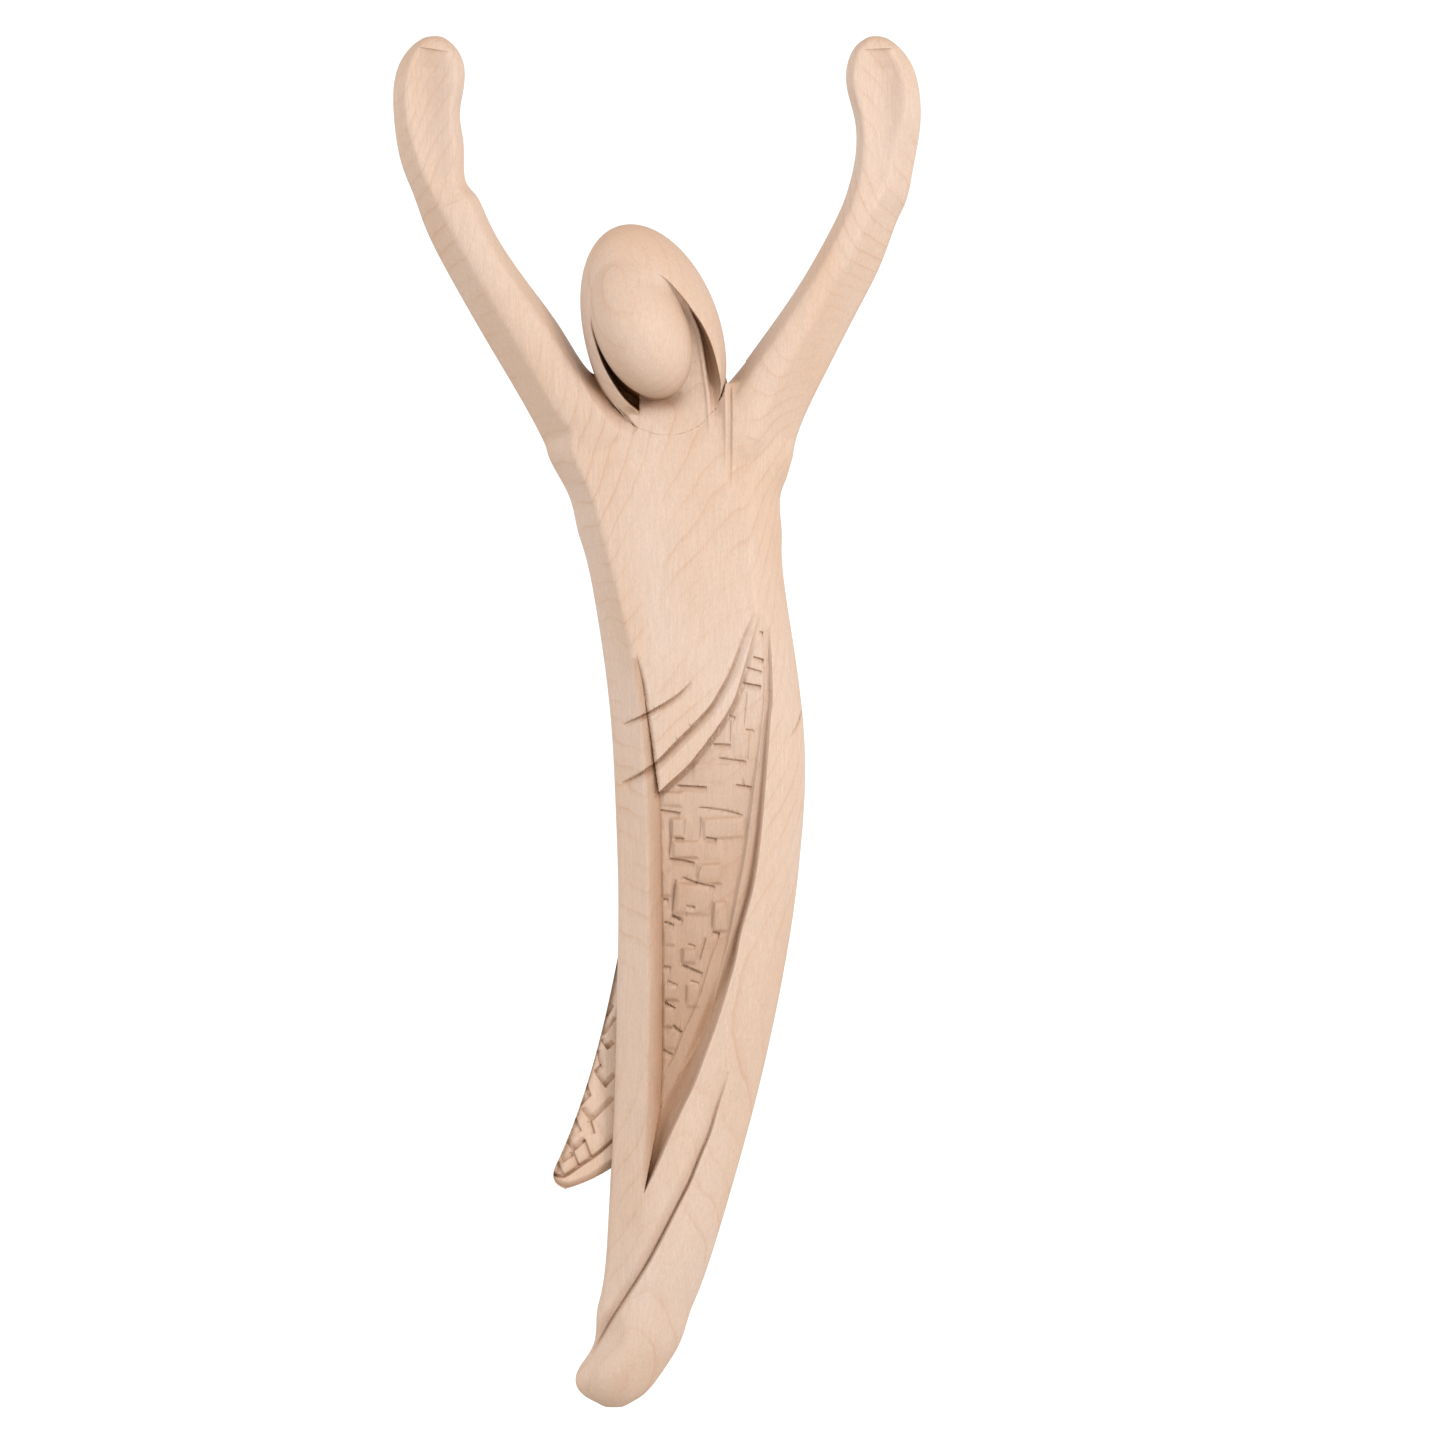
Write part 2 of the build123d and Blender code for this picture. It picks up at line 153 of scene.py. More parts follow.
def copy_of(thing, name):
    """A second object with its own copy of the mesh."""
    made = thing.copy()
    made.data = thing.data.copy()
    made.name = made.data.name = name
    bpy.context.scene.collection.objects.link(made)
    return made


def volume_of(mesh):
    """The volume in cubic millimetres."""
    bm = bmesh.new()
    bm.from_mesh(mesh)
    volume = bm.calc_volume()
    bm.free()
    return volume / MM**3


NUDGES = (0.0, 0.004, -0.007, 0.011, -0.016)  # mm


def cut_by(thing, cutter_mesh, operation="DIFFERENCE"):
    """Cuts with a closed mesh. Where surfaces only graze each other the solver can lose the solid, so the cut
    is then tried again with the cutter moved by a few microns."""
    cutter = add_object("cutter", cutter_mesh)
    whole = thing.data.copy()
    before = volume_of(whole)
    for nudge in NUDGES:
        cutter.location = (nudge * MM, 0, 0.7 * nudge * MM)
        boolean = thing.modifiers.new("cut", "BOOLEAN")
        boolean.operation, boolean.solver, boolean.object = operation, "EXACT", cutter
        boolean.use_self = nudge != 0
        after = volume_of(apply_modifiers(thing))
        if 0.05 * before < after < 1.01 * before:
            break
        print("cut tried again on", thing.name, round(before), "to", round(after))
        thing.data = whole.copy()
    bpy.data.objects.remove(cutter)


def prism(outline, depth):
    """An outline of (x, z) in model millimetres, from just behind the wall plane to a depth."""
    behind = 0.5
    bm = bmesh.new()
    ring = [bm.verts.new((x * MM, behind * MM, z * MM)) for x, z in outline]
    face = bm.faces.new(ring)
    made = bmesh.ops.extrude_face_region(bm, geom=[face])["geom"]
    for v in made:
        if isinstance(v, bmesh.types.BMVert):
            v.co.y = -depth * MM
    bmesh.ops.recalc_face_normals(bm, faces=bm.faces)
    return finished(bm, "prism")


def block(low, high):
    """A plain block between two corners in model millimetres, used to fill pockets."""
    bm = bmesh.new()
    bmesh.ops.create_cube(bm, size=1.0)
    low, high = Vector(low) * MM, Vector(high) * MM
    for v in bm.verts:
        v.co = Vector(low[i] + (high[i] - low[i]) * (v.co[i] + 0.5) for i in range(3))
    return finished(bm, "block")


# %% [markdown]
# ## A carver's strokes
# Every cut is a curve in the front view with a profile across it. The left and right flanks of a cut have
# their own widths: a knife stab has one steep wall and one long slope, a gouge has two round ones. A cut
# that starts and ends in the surface is tapered at its ends.

# %% Strokes
def smooth_line(points, steps=6):
    """A Catmull-Rom curve through a few chosen points."""
    p = np.array(points, dtype=float)
    if len(p) < 3:
        return p
    p = np.vstack((2 * p[0] - p[1], p, 2 * p[-1] - p[-2]))
    t = np.linspace(0, 1, steps, endpoint=False)[:, None]
    out = []
    for a, b, c, d in zip(p[:-3], p[1:-2], p[2:-1], p[3:]):
        square, cube = 2 * a - 5 * b + 4 * c - d, 3 * b - a - 3 * c + d
        out.append(0.5 * (2 * b + (c - a) * t + square * t**2 + cube * t**3))
    return np.vstack(out + [p[-2][None]])


def measure_from(line, x, z):
    """Signed distance from a line, positive on its right going along it, and the share of the way along."""
    starts, steps = line[:-1], np.diff(line, axis=0)
    lengths = np.linalg.norm(steps, axis=1)
    before = np.concatenate(([0], np.cumsum(lengths)[:-1]))
    best = np.full(x.shape, np.inf)
    side = np.zeros(x.shape)
    share = np.zeros(x.shape)
    for (ax, az), (dx, dz), length, start in zip(starts, steps, lengths, before):
        t = np.clip(((x - ax) * dx + (z - az) * dz) / length**2, 0, 1)
        away = (x - ax - t * dx) ** 2 + (z - az - t * dz) ** 2
        nearer = away < best
        best = np.where(nearer, away, best)
        side = np.where(nearer, (x - ax) * dz - (z - az) * dx, side)
        share = np.where(nearer, (start + t * length), share)
    return np.sqrt(best) * np.sign(side), share / lengths.sum()


def eased(t):
    """From 0 to 1 with a soft start and a soft end."""
    t = np.clip(t, 0, 1)
    return t * t * (3 - 2 * t)


class Stroke:
    """A cut, or with a negative depth a raised bead, along a curve.

    left and right are the widths of its flanks in mm, taken going along the points. shape is "knife" for
    straight flanks or "gouge" for round ones. ends are the shares of its length over which it tapers in
    and out.
    """

    def __init__(self, points, depth, left, right, shape="knife", ends=(0.15, 0.15), steps=6):
        self.points, self.line = points, smooth_line(points, steps)
        self.depth, self.left, self.right, self.shape, self.ends = depth, left, right, shape, ends
        reach = max(left, right)
        self.low, self.high = self.line.min(axis=0) - reach, self.line.max(axis=0) + reach

    def add(self, x, z, carved):
        near = (x > self.low[0]) & (x < self.high[0]) & (z > self.low[1]) & (z < self.high[1])
        near = np.flatnonzero(near)
        if not len(near):
            return
        away, share = measure_from(self.line, x[near], z[near])
        width = np.where(away < 0, self.left, self.right)
        across = np.clip(1 - np.abs(away) / width, 0, 1)
        if self.shape == "gouge":
            across = eased(across)
        along = np.ones_like(share)
        if self.ends[0]:
            along = np.minimum(along, np.sqrt(np.clip(share / self.ends[0], 0, 1)))
        if self.ends[1]:
            along = np.minimum(along, np.sqrt(np.clip((1 - share) / self.ends[1], 0, 1)))
        carved[near] += self.depth * across * along


class Patch:
    """One block of the woven cloth: a small four-sided facet, raised or sunk, with softened edges."""

    def __init__(self, left, right, low, high, lift, tilt=(0.0, 0.0), lean=0.0, soft=0.35):
        self.box = (left, right, low, high)
        self.lift, self.tilt, self.lean, self.soft = lift, tilt, lean, soft

    def add(self, x, z, carved):
        left, right, low, high = self.box
        near = (x > left - 1) & (x < right + 1) & (z > low - 1) & (z < high + 1)
        near = np.flatnonzero(near)
        if not len(near):
            return
        px, pz = x[near], z[near]
        drift = self.lean * (pz - (low + high) / 2)
        edge = np.minimum(px - drift - left, right - px + drift)
        slant = self.lean * (px - (left + right) / 2)
        rise = np.minimum(pz + slant - low, high - pz - slant)
        inside = eased(np.minimum(edge, rise) / self.soft + 0.5)
        u = (px - (left + right) / 2) / (right - left)
        v = (pz - (low + high) / 2) / (high - low)
        pillow = 1 - 0.5 * (u**2 + v**2)
        carved[near] -= inside * (self.lift * pillow + self.tilt[0] * u + self.tilt[1] * v)


# %% [markdown]
# ## Carving
# The blocks come with an even skin, too coarse for a knife cut. Before the surface is moved, an edge is
# halved wherever the strokes bend between its ends by more than a hair, so the small triangles end up in
# the cuts and the plain faces stay light.

# %% Carve
def halve_edges(points, extras, triangles, marked, pairs, index_of):
    """Splits the marked edges. extras are values per point, halved with them."""
    new_index = np.full(len(pairs), -1)
    new_index[marked] = len(points) + np.arange(marked.sum())
    a, b = pairs[marked].T
    points = np.vstack((points, (points[a] + points[b]) / 2))
    extras = [np.concatenate((e, (e[a] + e[b]) / 2)) for e in extras]
    middle = new_index[index_of].reshape(-1, 3)
    count = (middle >= 0).sum(axis=1)
    out = [triangles[count == 0]]
    for turn in range(3):
        corners = np.roll(triangles, -turn, axis=1)
        mids = np.roll(middle, -turn, axis=1)
        one = (count == 1) & (mids[:, 0] >= 0)
        c, m = corners[one], mids[one]
        out += [np.column_stack((c[:, 0], m[:, 0], c[:, 2])), np.column_stack((m[:, 0], c[:, 1], c[:, 2]))]
        two = (count == 2) & (mids[:, 2] < 0)
        c, m = corners[two], mids[two]
        out += [
            np.column_stack((m[:, 0], c[:, 1], m[:, 1])),
            np.column_stack((c[:, 0], m[:, 0], m[:, 1])),
            np.column_stack((c[:, 0], m[:, 1], c[:, 2])),
        ]
    c, m = triangles[count == 3], middle[count == 3]
    out += [
        np.column_stack((c[:, 0], m[:, 0], m[:, 2])),
        np.column_stack((m[:, 0], c[:, 1], m[:, 1])),
        np.column_stack((m[:, 2], m[:, 1], c[:, 2])),
        m,
    ]
    return points, extras, np.vstack(out)


def edges_of(triangles):
    """Every edge once, and which edge each side of each triangle is."""
    ends = np.stack((triangles, np.roll(triangles, -1, axis=1)), axis=2).reshape(-1, 2)
    return np.unique(np.sort(ends, axis=1), axis=0, return_inverse=True)


def point_normals(points, triangles):
    """The normals of the triangles round each point, averaged by area."""
    a, b, c = (points[triangles[:, i]] for i in range(3))
    face = np.cross(b - a, c - a)
    normals = np.zeros_like(points)
    for i in range(3):
        np.add.at(normals, triangles[:, i], face)
    return normals / np.maximum(np.linalg.norm(normals, axis=1), 1e-12)[:, None]


def facing(points, triangles, low=0.12, high=0.42):
    """How much each point of a drawn surface faces the viewer, from 0 on the sides to 1 on the front."""
    normals = point_normals(points, triangles)
    return eased((normals[:, 1] - low) / (high - low))


def carve(points, triangles, front, depth_of, passes=3, shortest=0.16, bend=0.02):
    """Moves the front of a drawn surface to its carved depth, with small triangles only where it bends."""
    for _ in range(passes):
        pairs, index_of = edges_of(triangles)
        index_of = index_of.ravel()
        a, b = pairs.T
        length = np.linalg.norm(points[a] - points[b], axis=1)
        try_these = np.flatnonzero((length > shortest) & (front[a] + front[b] > 0.02))
        a, b = a[try_these], b[try_these]
        at_a, at_b = depth_of(points[a], front[a]), depth_of(points[b], front[b])
        worst = np.zeros(len(a))
        for t in (0.25, 0.5, 0.75):
            p = points[a] * (1 - t) + points[b] * t
            f = front[a] * (1 - t) + front[b] * t
            worst = np.maximum(worst, np.abs(depth_of(p, f) - at_a * (1 - t) - at_b * t))
        marked = np.zeros(len(pairs), dtype=bool)
        marked[try_these[worst > bend]] = True
        if not marked.any():
            break
        points, (front,), triangles = halve_edges(points, [front], triangles, marked, pairs, index_of)
    points = points.copy()
    points[:, 1] = depth_of(points, front)
    return points, triangles, front


# %% [markdown]
# ## One block to carve
# The growth rings run unbroken from the chest into the arms and the hood, so everything but the cloth end
# is carved as one block and parted at the glue joints afterwards, just as a carver glues the blanks up
# first. The sockets and the plate's bed are filled for now, so that the skin over them is even. The hood
# starts as a full egg, and its hollow is cut later.

# %% Rough block
HOOD = ((-6.3, 18.5, 43.2), (19.5, 17.0, 32.4), math.radians(19))  # centre, half-axes and lean
FACE = ((-9.8, 25.5, 44.0), (13.4, 14.0, 21.3), math.radians(22))


def hood_reach(angle):
    """How far the hood's outline stands beyond a plain ellipse: it is fuller at the lower left."""
    off = np.mod(np.degrees(angle), 360) - 216
    return 1 + 0.10 * np.exp(-0.5 * (off / 24) ** 2)


def hood_space(profile, around=64):
    """Turns (share of the outline, depth) pairs into a closed mesh round the hood's axis."""
    (cx, _, cz), (across, _, along), lean = HOOD
    points, triangles = [], []
    for share, depth in profile:
        for i in range(around):
            a = 2 * math.pi * i / around
            reach = share * hood_reach(a)
            u, v = reach * across * math.cos(a), reach * along * math.sin(a)
            x = cx + u * math.cos(lean) - v * math.sin(lean)
            z = cz + u * math.sin(lean) + v * math.cos(lean)
            points.append((x, depth, z))
    for row in range(len(profile) - 1):
        for i in range(around):
            p, q = row * around + i, row * around + (i + 1) % around
            triangles += [(p, q, q + around), (p, q + around, p + around)]
    for row, flip in ((0, True), (len(profile) - 1, False)):
        ring = [row * around + i for i in range(around)]
        for i in range(1, around - 1):
            corners = (ring[0], ring[i], ring[i + 1])
            triangles.append(corners[::-1] if flip else corners)
    return to_mesh("hood", modelled(np.array(points)), np.array(triangles))


SEAT_TOP = 22.0  # the bowl under the hood is filled up to here, drawn
quarter = [math.radians(a) for a in np.linspace(2, 90, 34)]
back_half = [(math.sin(a), HOOD[0][1] - HOOD[1][1] * math.cos(a)) for a in quarter]
front_half = [(share, 2 * HOOD[0][1] - depth) for share, depth in back_half[-2::-1]]
hood_block = add_object("hood_block", hood_space(back_half + front_half, around=110))
seat_fill = hood_space(back_half + front_half)
bm = bmesh.new()
bm.from_mesh(seat_fill)
bmesh.ops.bisect_plane(bm, geom=bm.verts[:] + bm.edges[:] + bm.faces[:],
                       plane_co=(0, 0, (SHOULDERS + SEAT_TOP) * MM), plane_no=(0, 0, 1), clear_outer=True)
bmesh.ops.holes_fill(bm, edges=[e for e in bm.edges if e.is_boundary], sides=0)
bm.to_mesh(seat_fill)
bm.free()

plate_low, plate_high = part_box("keyhole_plate")
plate_fill = block((-9.5, -15.5, -19.0), (9.5, -0.2, 30.5))
cloth_slot_fill = block((-13.0, -15.0, -155.0), (0.0, -2.0, -112.0))
glued = ["trunk", "left_arm", "right_arm", "left_shoulder_dowels", "right_shoulder_dowels"]
rough = joined_copy("rough", glued, [seat_fill, plate_fill, cloth_slot_fill])
remeshed(rough, 0.9)
print("rough block:", len(rough.data.polygons), "faces")

# %% [markdown]
# ## Level what is carved anew
# The woven panel is sunk with square walls in the CAD block, and the lock of hair stands on the chest as a
# plain round bulge. Both are levelled here, each row from the depths on both sides of it, because the real
# slopes are carved below.

# %% Level the panel and the lock
# all as (z, x) or, for the depth, (z, depth)
PANEL_LEFT = [(-185.0, -5.6), (-91.0, -5.9), (-84.4, 0.8), (-76.4, 8.3), (-66.4, 14.9), (-54.4, 19.9),
              (-38.0, 25.5)]
PANEL_RIGHT = [(-186.0, -4.0), (-183.0, -2.0), (-176.0, 5.6), (-161.0, 12.8), (-136.0, 19.2), (-104.0, 24.2),
               (-75.5, 27.0), (-58.0, 27.6), (-38.0, 27.0)]
LOCK_LEFT = [(-14.0, 14.4), (0.0, 12.6), (11.0, 10.8), (20.0, 8.4), (29.0, 7.8)]
LOCK_RIGHT = [(-14.0, 16.4), (0.0, 17.6), (11.0, 18.0), (20.0, 17.8), (29.0, 17.4)]
LOCK_DEPTH = [(-14.0, 26.5), (0.0, 25.9), (12.0, 24.4), (20.0, 24.0), (29.0, 24.5)]


def along_z(table, z):
    """A value read off a list of (z, value)."""
    rows = np.array(sorted(table))
    return np.interp(z, rows[:, 0], rows[:, 1])


def level(thing, left_side, right_side, low, high, left_depth=None):
    """Bridges the front between two lines with a smooth curve, keeping the slopes at both. left_depth
    overrules the depth that is found on the left."""
    points, triangles = to_arrays(thing.data)
    tree = BVHTree.FromPolygons(points.tolist(), triangles.tolist())
    p = drawn(points)

    def depth_at(x, z):
        hit = tree.ray_cast(Vector((x * MM, -0.2, (z + SHOULDERS) * MM)), Vector((0, 1, 0)))[0]
        return -hit.y / MM if hit else 0.0

    heights = np.arange(low, high, 1.5)
    rows = []
    for z in heights:
        left, right = along_z(left_side, z) - 0.8, along_z(right_side, z) + 0.8
        slope_left = (depth_at(left, z) - depth_at(left - 1.5, z)) / 1.5
        slope_right = (depth_at(right + 1.5, z) - depth_at(right, z)) / 1.5
        at_left = depth_at(left, z)
        if left_depth:
            at_left, slope_left = float(along_z(left_depth, z)), 0.0
        rows.append((left, right, at_left, depth_at(right, z), slope_left, slope_right))
    rows = np.pad(np.array(rows), ((2, 2), (0, 0)), mode="edge")
    rows = np.apply_along_axis(lambda c: np.convolve(c, np.ones(5) / 5, mode="valid"), 0, rows)
    at_point = [np.interp(p[:, 2], heights, column) for column in rows.T]
    left, right, at_left, at_right = at_point[:4]
    slope_left, slope_right = (np.clip(slope, -0.3, 0.3) for slope in at_point[4:])
    span = right - left
    t = (p[:, 0] - left) / span
    depth = (2 * t**3 - 3 * t**2 + 1) * at_left + (t**3 - 2 * t**2 + t) * span * slope_left
    depth += (3 * t**2 - 2 * t**3) * at_right + (t**3 - t**2) * span * slope_right
    pick = (t > 0) & (t < 1) & (p[:, 1] > 15) & (p[:, 2] > low - 1) & (p[:, 2] < high)
    p[pick, 1] = depth[pick]
    thing.data.vertices.foreach_set("co", modelled(p).ravel())


level(rough, PANEL_LEFT, PANEL_RIGHT, -186.0, -37.5)
level(rough, LOCK_LEFT, LOCK_RIGHT, -14.0, 28.6, LOCK_DEPTH)
remeshed(rough, 0.7, smoothing=4)

# %% [markdown]
# ## The sharp corner beside the hood
# A carver's knife leaves a sharp V where the right arm leaves the hood, and the even skin has rounded it.
# After that cut the skin is thinned out, because the carving puts small triangles back where it needs them.

# %% Cut the corner and thin the skin
CROTCH = [(15.3, 28.1), (13.0, 38.0), (20.8, 34.9)]  # drawn (x, z): its bottom, and two points in the open
cut_by(rough, prism([(x, z + SHOULDERS) for x, z in CROTCH], 45.0))
print("with the corner cut:", len(rough.data.polygons), "faces")
thinner = rough.modifiers.new("thinner", "DECIMATE")
thinner.ratio = 0.4
apply_modifiers(rough)
print("thinned block:", len(rough.data.polygons), "faces")

# %% [markdown]
# ## Folds of the cloth
# The sash is two long knife cuts across the hips. Below it the cloth is sunk and woven. On its left the
# front rolls down into the sunk panel, on its right a thin bead and a channel part it from the right leg,
# whose sharp edge sweeps down across the figure. A second fold follows it to the foot.

# %% Main folds
# (z, x) of the soft edge where the left strip starts to fall, and of the foot of that slope
STRIP_EDGE = [(-50.0, -12.9), (-59.3, -11.4), (-74.8, -9.6), (-88.0, -8.5), (-113.0, -7.9), (-149.0, -7.7),
              (-170.6, -8.1), (-188.0, -8.7), (-207.0, -9.6)]
SLOPE_FOOT = [(-50.0, -11.3), (-59.7, -9.1), (-67.7, -8.0), (-74.8, -6.9), (-82.0, -6.0), (-90.8, -4.6),
              (-98.0, -4.2), (-113.0, -3.9), (-136.0, -3.5), (-170.6, -3.6), (-183.0, -4.3), (-207.0, -9.0)]
SLOPE_DROP = [(-50.0, 0.0), (-62.0, 0.9), (-90.0, 2.7), (-150.0, 3.1), (-178.0, 3.4), (-192.0, 1.8),
              (-207.0, 0.0)]
# (z, depth) of the woven floor, of the bead on its right and of the channel's own hollow
PANEL_DEPTH = [(-210.0, 3.4), (-178.0, 3.2), (-150.0, 2.9), (-92.0, 2.6), (-60.0, 1.5), (-40.0, 0.5)]
BEAD_DEPTH = [(-210.0, 3.3), (-176.0, 3.0), (-150.0, 2.0), (-120.0, 1.7), (-90.0, 1.2), (-60.0, 0.9),
              (-38.0, 0.0)]
GROOVE_DEPTH = [(-210.0, 0.0), (-203.0, 0.6), (-190.0, 1.2), (-170.0, 1.4), (-130.0, 1.5), (-90.0, 1.1),
                (-50.0, 0.8), (-38.0, 0.0)]
# (x, z) along each cut
SASH_LOW = [(-4.9, -91.0), (-1.3, -87.7), (4.0, -82.8), (9.3, -76.2), (13.8, -69.9), (17.3, -63.7),
            (20.2, -54.4), (22.4, -46.5), (24.0, -40.0)]
SASH_HIGH = [(-15.5, -88.2), (-10.6, -85.6), (-5.3, -81.9), (0.4, -76.2), (5.3, -71.3), (10.2, -65.9),
             (12.9, -61.5), (16.0, -55.7), (19.6, -46.4), (22.9, -38.8)]
BEAD = [(25.6, -36.0), (26.2, -52.6), (26.3, -61.5), (25.2, -73.0), (23.9, -84.0), (22.6, -94.0), (20.9,
                                                                                                   -107.0),
        (18.6, -119.0), (16.3, -131.5), (13.6, -142.6), (10.5, -153.8), (6.6, -164.0), (2.0, -172.0)]
CHANNEL = [(26.6, -40.0), (27.4, -61.5), (26.7, -70.4), (25.5, -87.0), (23.9, -104.5), (21.9, -118.0),
           (18.7, -132.0), (14.6, -144.0), (10.6, -154.0), (5.9, -166.2), (2.1, -175.0), (-2.3, -184.0),
           (-4.9, -192.9), (-7.2, -200.0), (-8.9, -207.1)]
LEG_EDGE = [(27.6, -40.0), (28.4, -61.5), (27.7, -70.4), (26.5, -87.0), (24.9, -104.5), (22.9, -118.0),
            (19.4, -131.0), (17.7, -139.5), (15.2, -148.4), (12.4, -157.3), (9.2, -166.2), (5.9, -175.0),
            (2.1, -183.0), (-1.4, -190.6), (-5.4, -200.0), (-8.9, -207.1)]
FOLD = [(15.5, -172.0), (12.6, -180.0), (9.9, -189.3), (7.0, -196.5), (4.0, -204.0), (0.2, -211.6),
        (-3.6, -219.2), (-7.5, -226.6), (-11.2, -232.8), (-14.9, -238.6), (-18.6, -244.6),
        (-21.4, -249.6), (-24.4, -254.4)]


class Sunk:
    """The sunk panel with its sloping left side, the sash above it and the channel on its right."""

    def __init__(self):
        self.sash = smooth_line(SASH_LOW)
        self.channel = smooth_line(CHANNEL)
        self.edge = smooth_line(LEG_EDGE)
        self.bead = smooth_line(BEAD)

    def add(self, x, z, carved):
        near = np.flatnonzero((x > -16) & (x < 30) & (z > -209) & (z < -36))
        if not len(near):
            return
        px, pz = x[near], z[near]
        top, foot = along_z(STRIP_EDGE, pz), along_z(SLOPE_FOOT, pz)
        drop = along_z(SLOPE_DROP, pz)
        slope = np.clip((px - top) / np.maximum(foot - top, 0.2), 0, 1)
        slope = slope * (0.55 + 0.45 * slope) * drop
        above = px < along_z([(b, a) for a, b in self.sash], pz)
        left_of_foot = px < foot
        sash_side = measure_from(self.sash, px, pz)[0]
        level = along_z(PANEL_DEPTH, pz)
        panel = level * np.clip(sash_side / 0.5 + 0.5, 0, 1)
        panel = np.where(pz < -91.0, level, panel)
        from_channel = measure_from(self.channel, px, pz)[0]
        from_edge = measure_from(self.edge, px, pz)[0]
        # going down the leg's edge, its right-hand side is the viewer's left
        wall = np.clip(from_edge, 0, 1)
        carve_here = np.where(left_of_foot, np.where((pz < -50) & (px > top), slope, 0.0), panel)
        carve_here = np.where(above & (pz > -91.0) & ~left_of_foot, 0.0, carve_here)
        strip = along_z(BEAD_DEPTH, pz)
        from_bead = measure_from(self.bead, px, pz)[0]
        border = np.clip(1 - from_bead / 0.9, 0, 1)
        in_strip = (from_bead < 0.9) & ~left_of_foot
        carve_here = np.where(in_strip, carve_here * (1 - border) + np.minimum(strip, level) * border,
                              carve_here)
        groove = along_z(GROOVE_DEPTH, pz)
        hollow = groove * eased(1 - np.abs(from_channel) / 2.6)
        carve_here = carve_here + np.where(left_of_foot, 0.0, hollow)
        carve_here = np.where(from_edge > 0, carve_here * wall, 0.0)
        fades = eased((-pz - 36.0) / 10.0)
        carved[near] += np.where(px > foot, carve_here * fades, carve_here)


folds = [
    Sunk(),
    # the stab that parts the strip from the chest and the sash
    Stroke([(-11.3, -50.0), (-9.1, -59.7), (-8.0, -67.7), (-6.9, -74.8), (-6.0, -82.0), (-4.9, -90.0)],
           0.9, 1.0, 0.15, ends=(0.3, 0.1)),
    # the sash: its short upper cut, the long one, and its lower edge
    Stroke([(-15.1, -71.1), (-8.0, -67.7), (-0.4, -63.3), (4.9, -58.8)], 1.5, 0.3, 1.5, ends=(0.25, 0.5)),
    Stroke(SASH_HIGH, 2.0, 0.4, 2.3, ends=(0.12, 0.6)),
    Stroke(SASH_LOW, 1.0, 0.25, 1.6, ends=(0.0, 0.6)),
    # the thin bead between the panel and the channel
    Stroke(BEAD, -0.45, 0.6, 0.7, shape="gouge", ends=(0.2, 0.4)),
    # the raised lip along the right leg's edge
    Stroke(LEG_EDGE, -0.35, 1.8, 0.35, shape="gouge", ends=(0.25, 0.08)),
    # the second fold, a round gouge cut with a sharp edge on its right
    Stroke(FOLD, 1.7, 0.8, 3.6, shape="gouge", ends=(0.6, 0.12)),
    Stroke(FOLD, 0.6, 0.5, 0.5, ends=(0.4, 0.1)),
    Stroke([(x + 1.2, z + 0.8) for x, z in FOLD], -0.5, 3.5, 0.6, shape="gouge", ends=(0.3, 0.15)),
    # the notch at the hip
    Stroke([(38.4, -64.5), (37.1, -66.6), (35.8, -70.6), (33.6, -74.6)], 1.3, 0.9, 0.25, ends=(0.0, 0.5)),
]
print("folds:", len(folds), "strokes, the deepest", max(stroke.depth for stroke in folds[1:]), "mm")

# %% [markdown]
# ## The woven cloth
# A flat chisel makes the weave: each short level stab has an upright upper wall, which stays dark, and the
# wood below it is pared away in one slope, which catches the light. Blocks stand a few tenths of a
# millimetre higher or lower than their neighbours, and no two are the same size.

# %% Woven panel
# each level stab: its points from left to right, and how hard the chisel was struck
LEVEL_CUTS = [
    ([(24.5, -44.0), (25.6, -44.3)], 0.35),
    ([(22.7, -51.3), (25.8, -52.2)], 0.6),
    ([(20.7, -54.4), (25.3, -55.7)], 0.45),
    ([(19.6, -58.8), (25.1, -59.9)], 0.75),
    ([(15.7, -68.2), (17.6, -69.1)], 0.35),
    ([(20.4, -72.4), (22.9, -72.6)], 0.3),
    ([(10.9, -76.6), (16.2, -76.8)], 0.65),
    ([(12.7, -80.6), (20.7, -81.7)], 0.65),
    ([(0.5, -88.6), (9.3, -89.1)], 0.8),
    ([(17.6, -88.4), (22.4, -89.1)], 0.6),
    ([(-4.4, -95.7), (1.6, -96.6)], 0.8),
    ([(6.7, -95.1), (9.3, -95.1), (16.0, -96.2), (20.0, -97.5)], 0.45),
    ([(0.0, -103.9), (2.7, -104.1)], 0.5),
    ([(8.9, -103.6), (12.2, -104.2)], 0.65),
    ([(-1.6, -109.7), (3.1, -110.4), (5.8, -111.1)], 0.85),
    ([(2.2, -115.1), (5.8, -116.6), (11.8, -118.1)], 0.65),
    ([(3.3, -123.5), (6.0, -124.0)], 0.35),
    ([(-0.9, -126.2), (2.5, -127.8)], 0.85),
    ([(-3.4, -121.6), (-1.8, -121.8)], 0.4),
    ([(-3.1, -128.2), (-0.2, -129.1)], 0.5),
    ([(10.9, -131.0), (13.1, -131.6)], 0.6),
    ([(3.8, -134.6), (6.0, -135.3)], 0.35),
    ([(2.0, -140.6), (4.9, -141.8), (8.2, -143.2)], 0.85),
    ([(-3.3, -141.1), (-1.1, -141.5)], 0.6),
    ([(-2.2, -145.3), (0.9, -146.6)], 0.4),
    ([(4.4, -145.3), (7.1, -146.0)], 0.3),
    ([(-2.9, -151.5), (0.2, -153.3)], 0.85),
    ([(-0.5, -158.2), (2.1, -160.3)], 0.8),
    ([(-3.4, -165.3), (-0.5, -166.8)], 0.75),
]
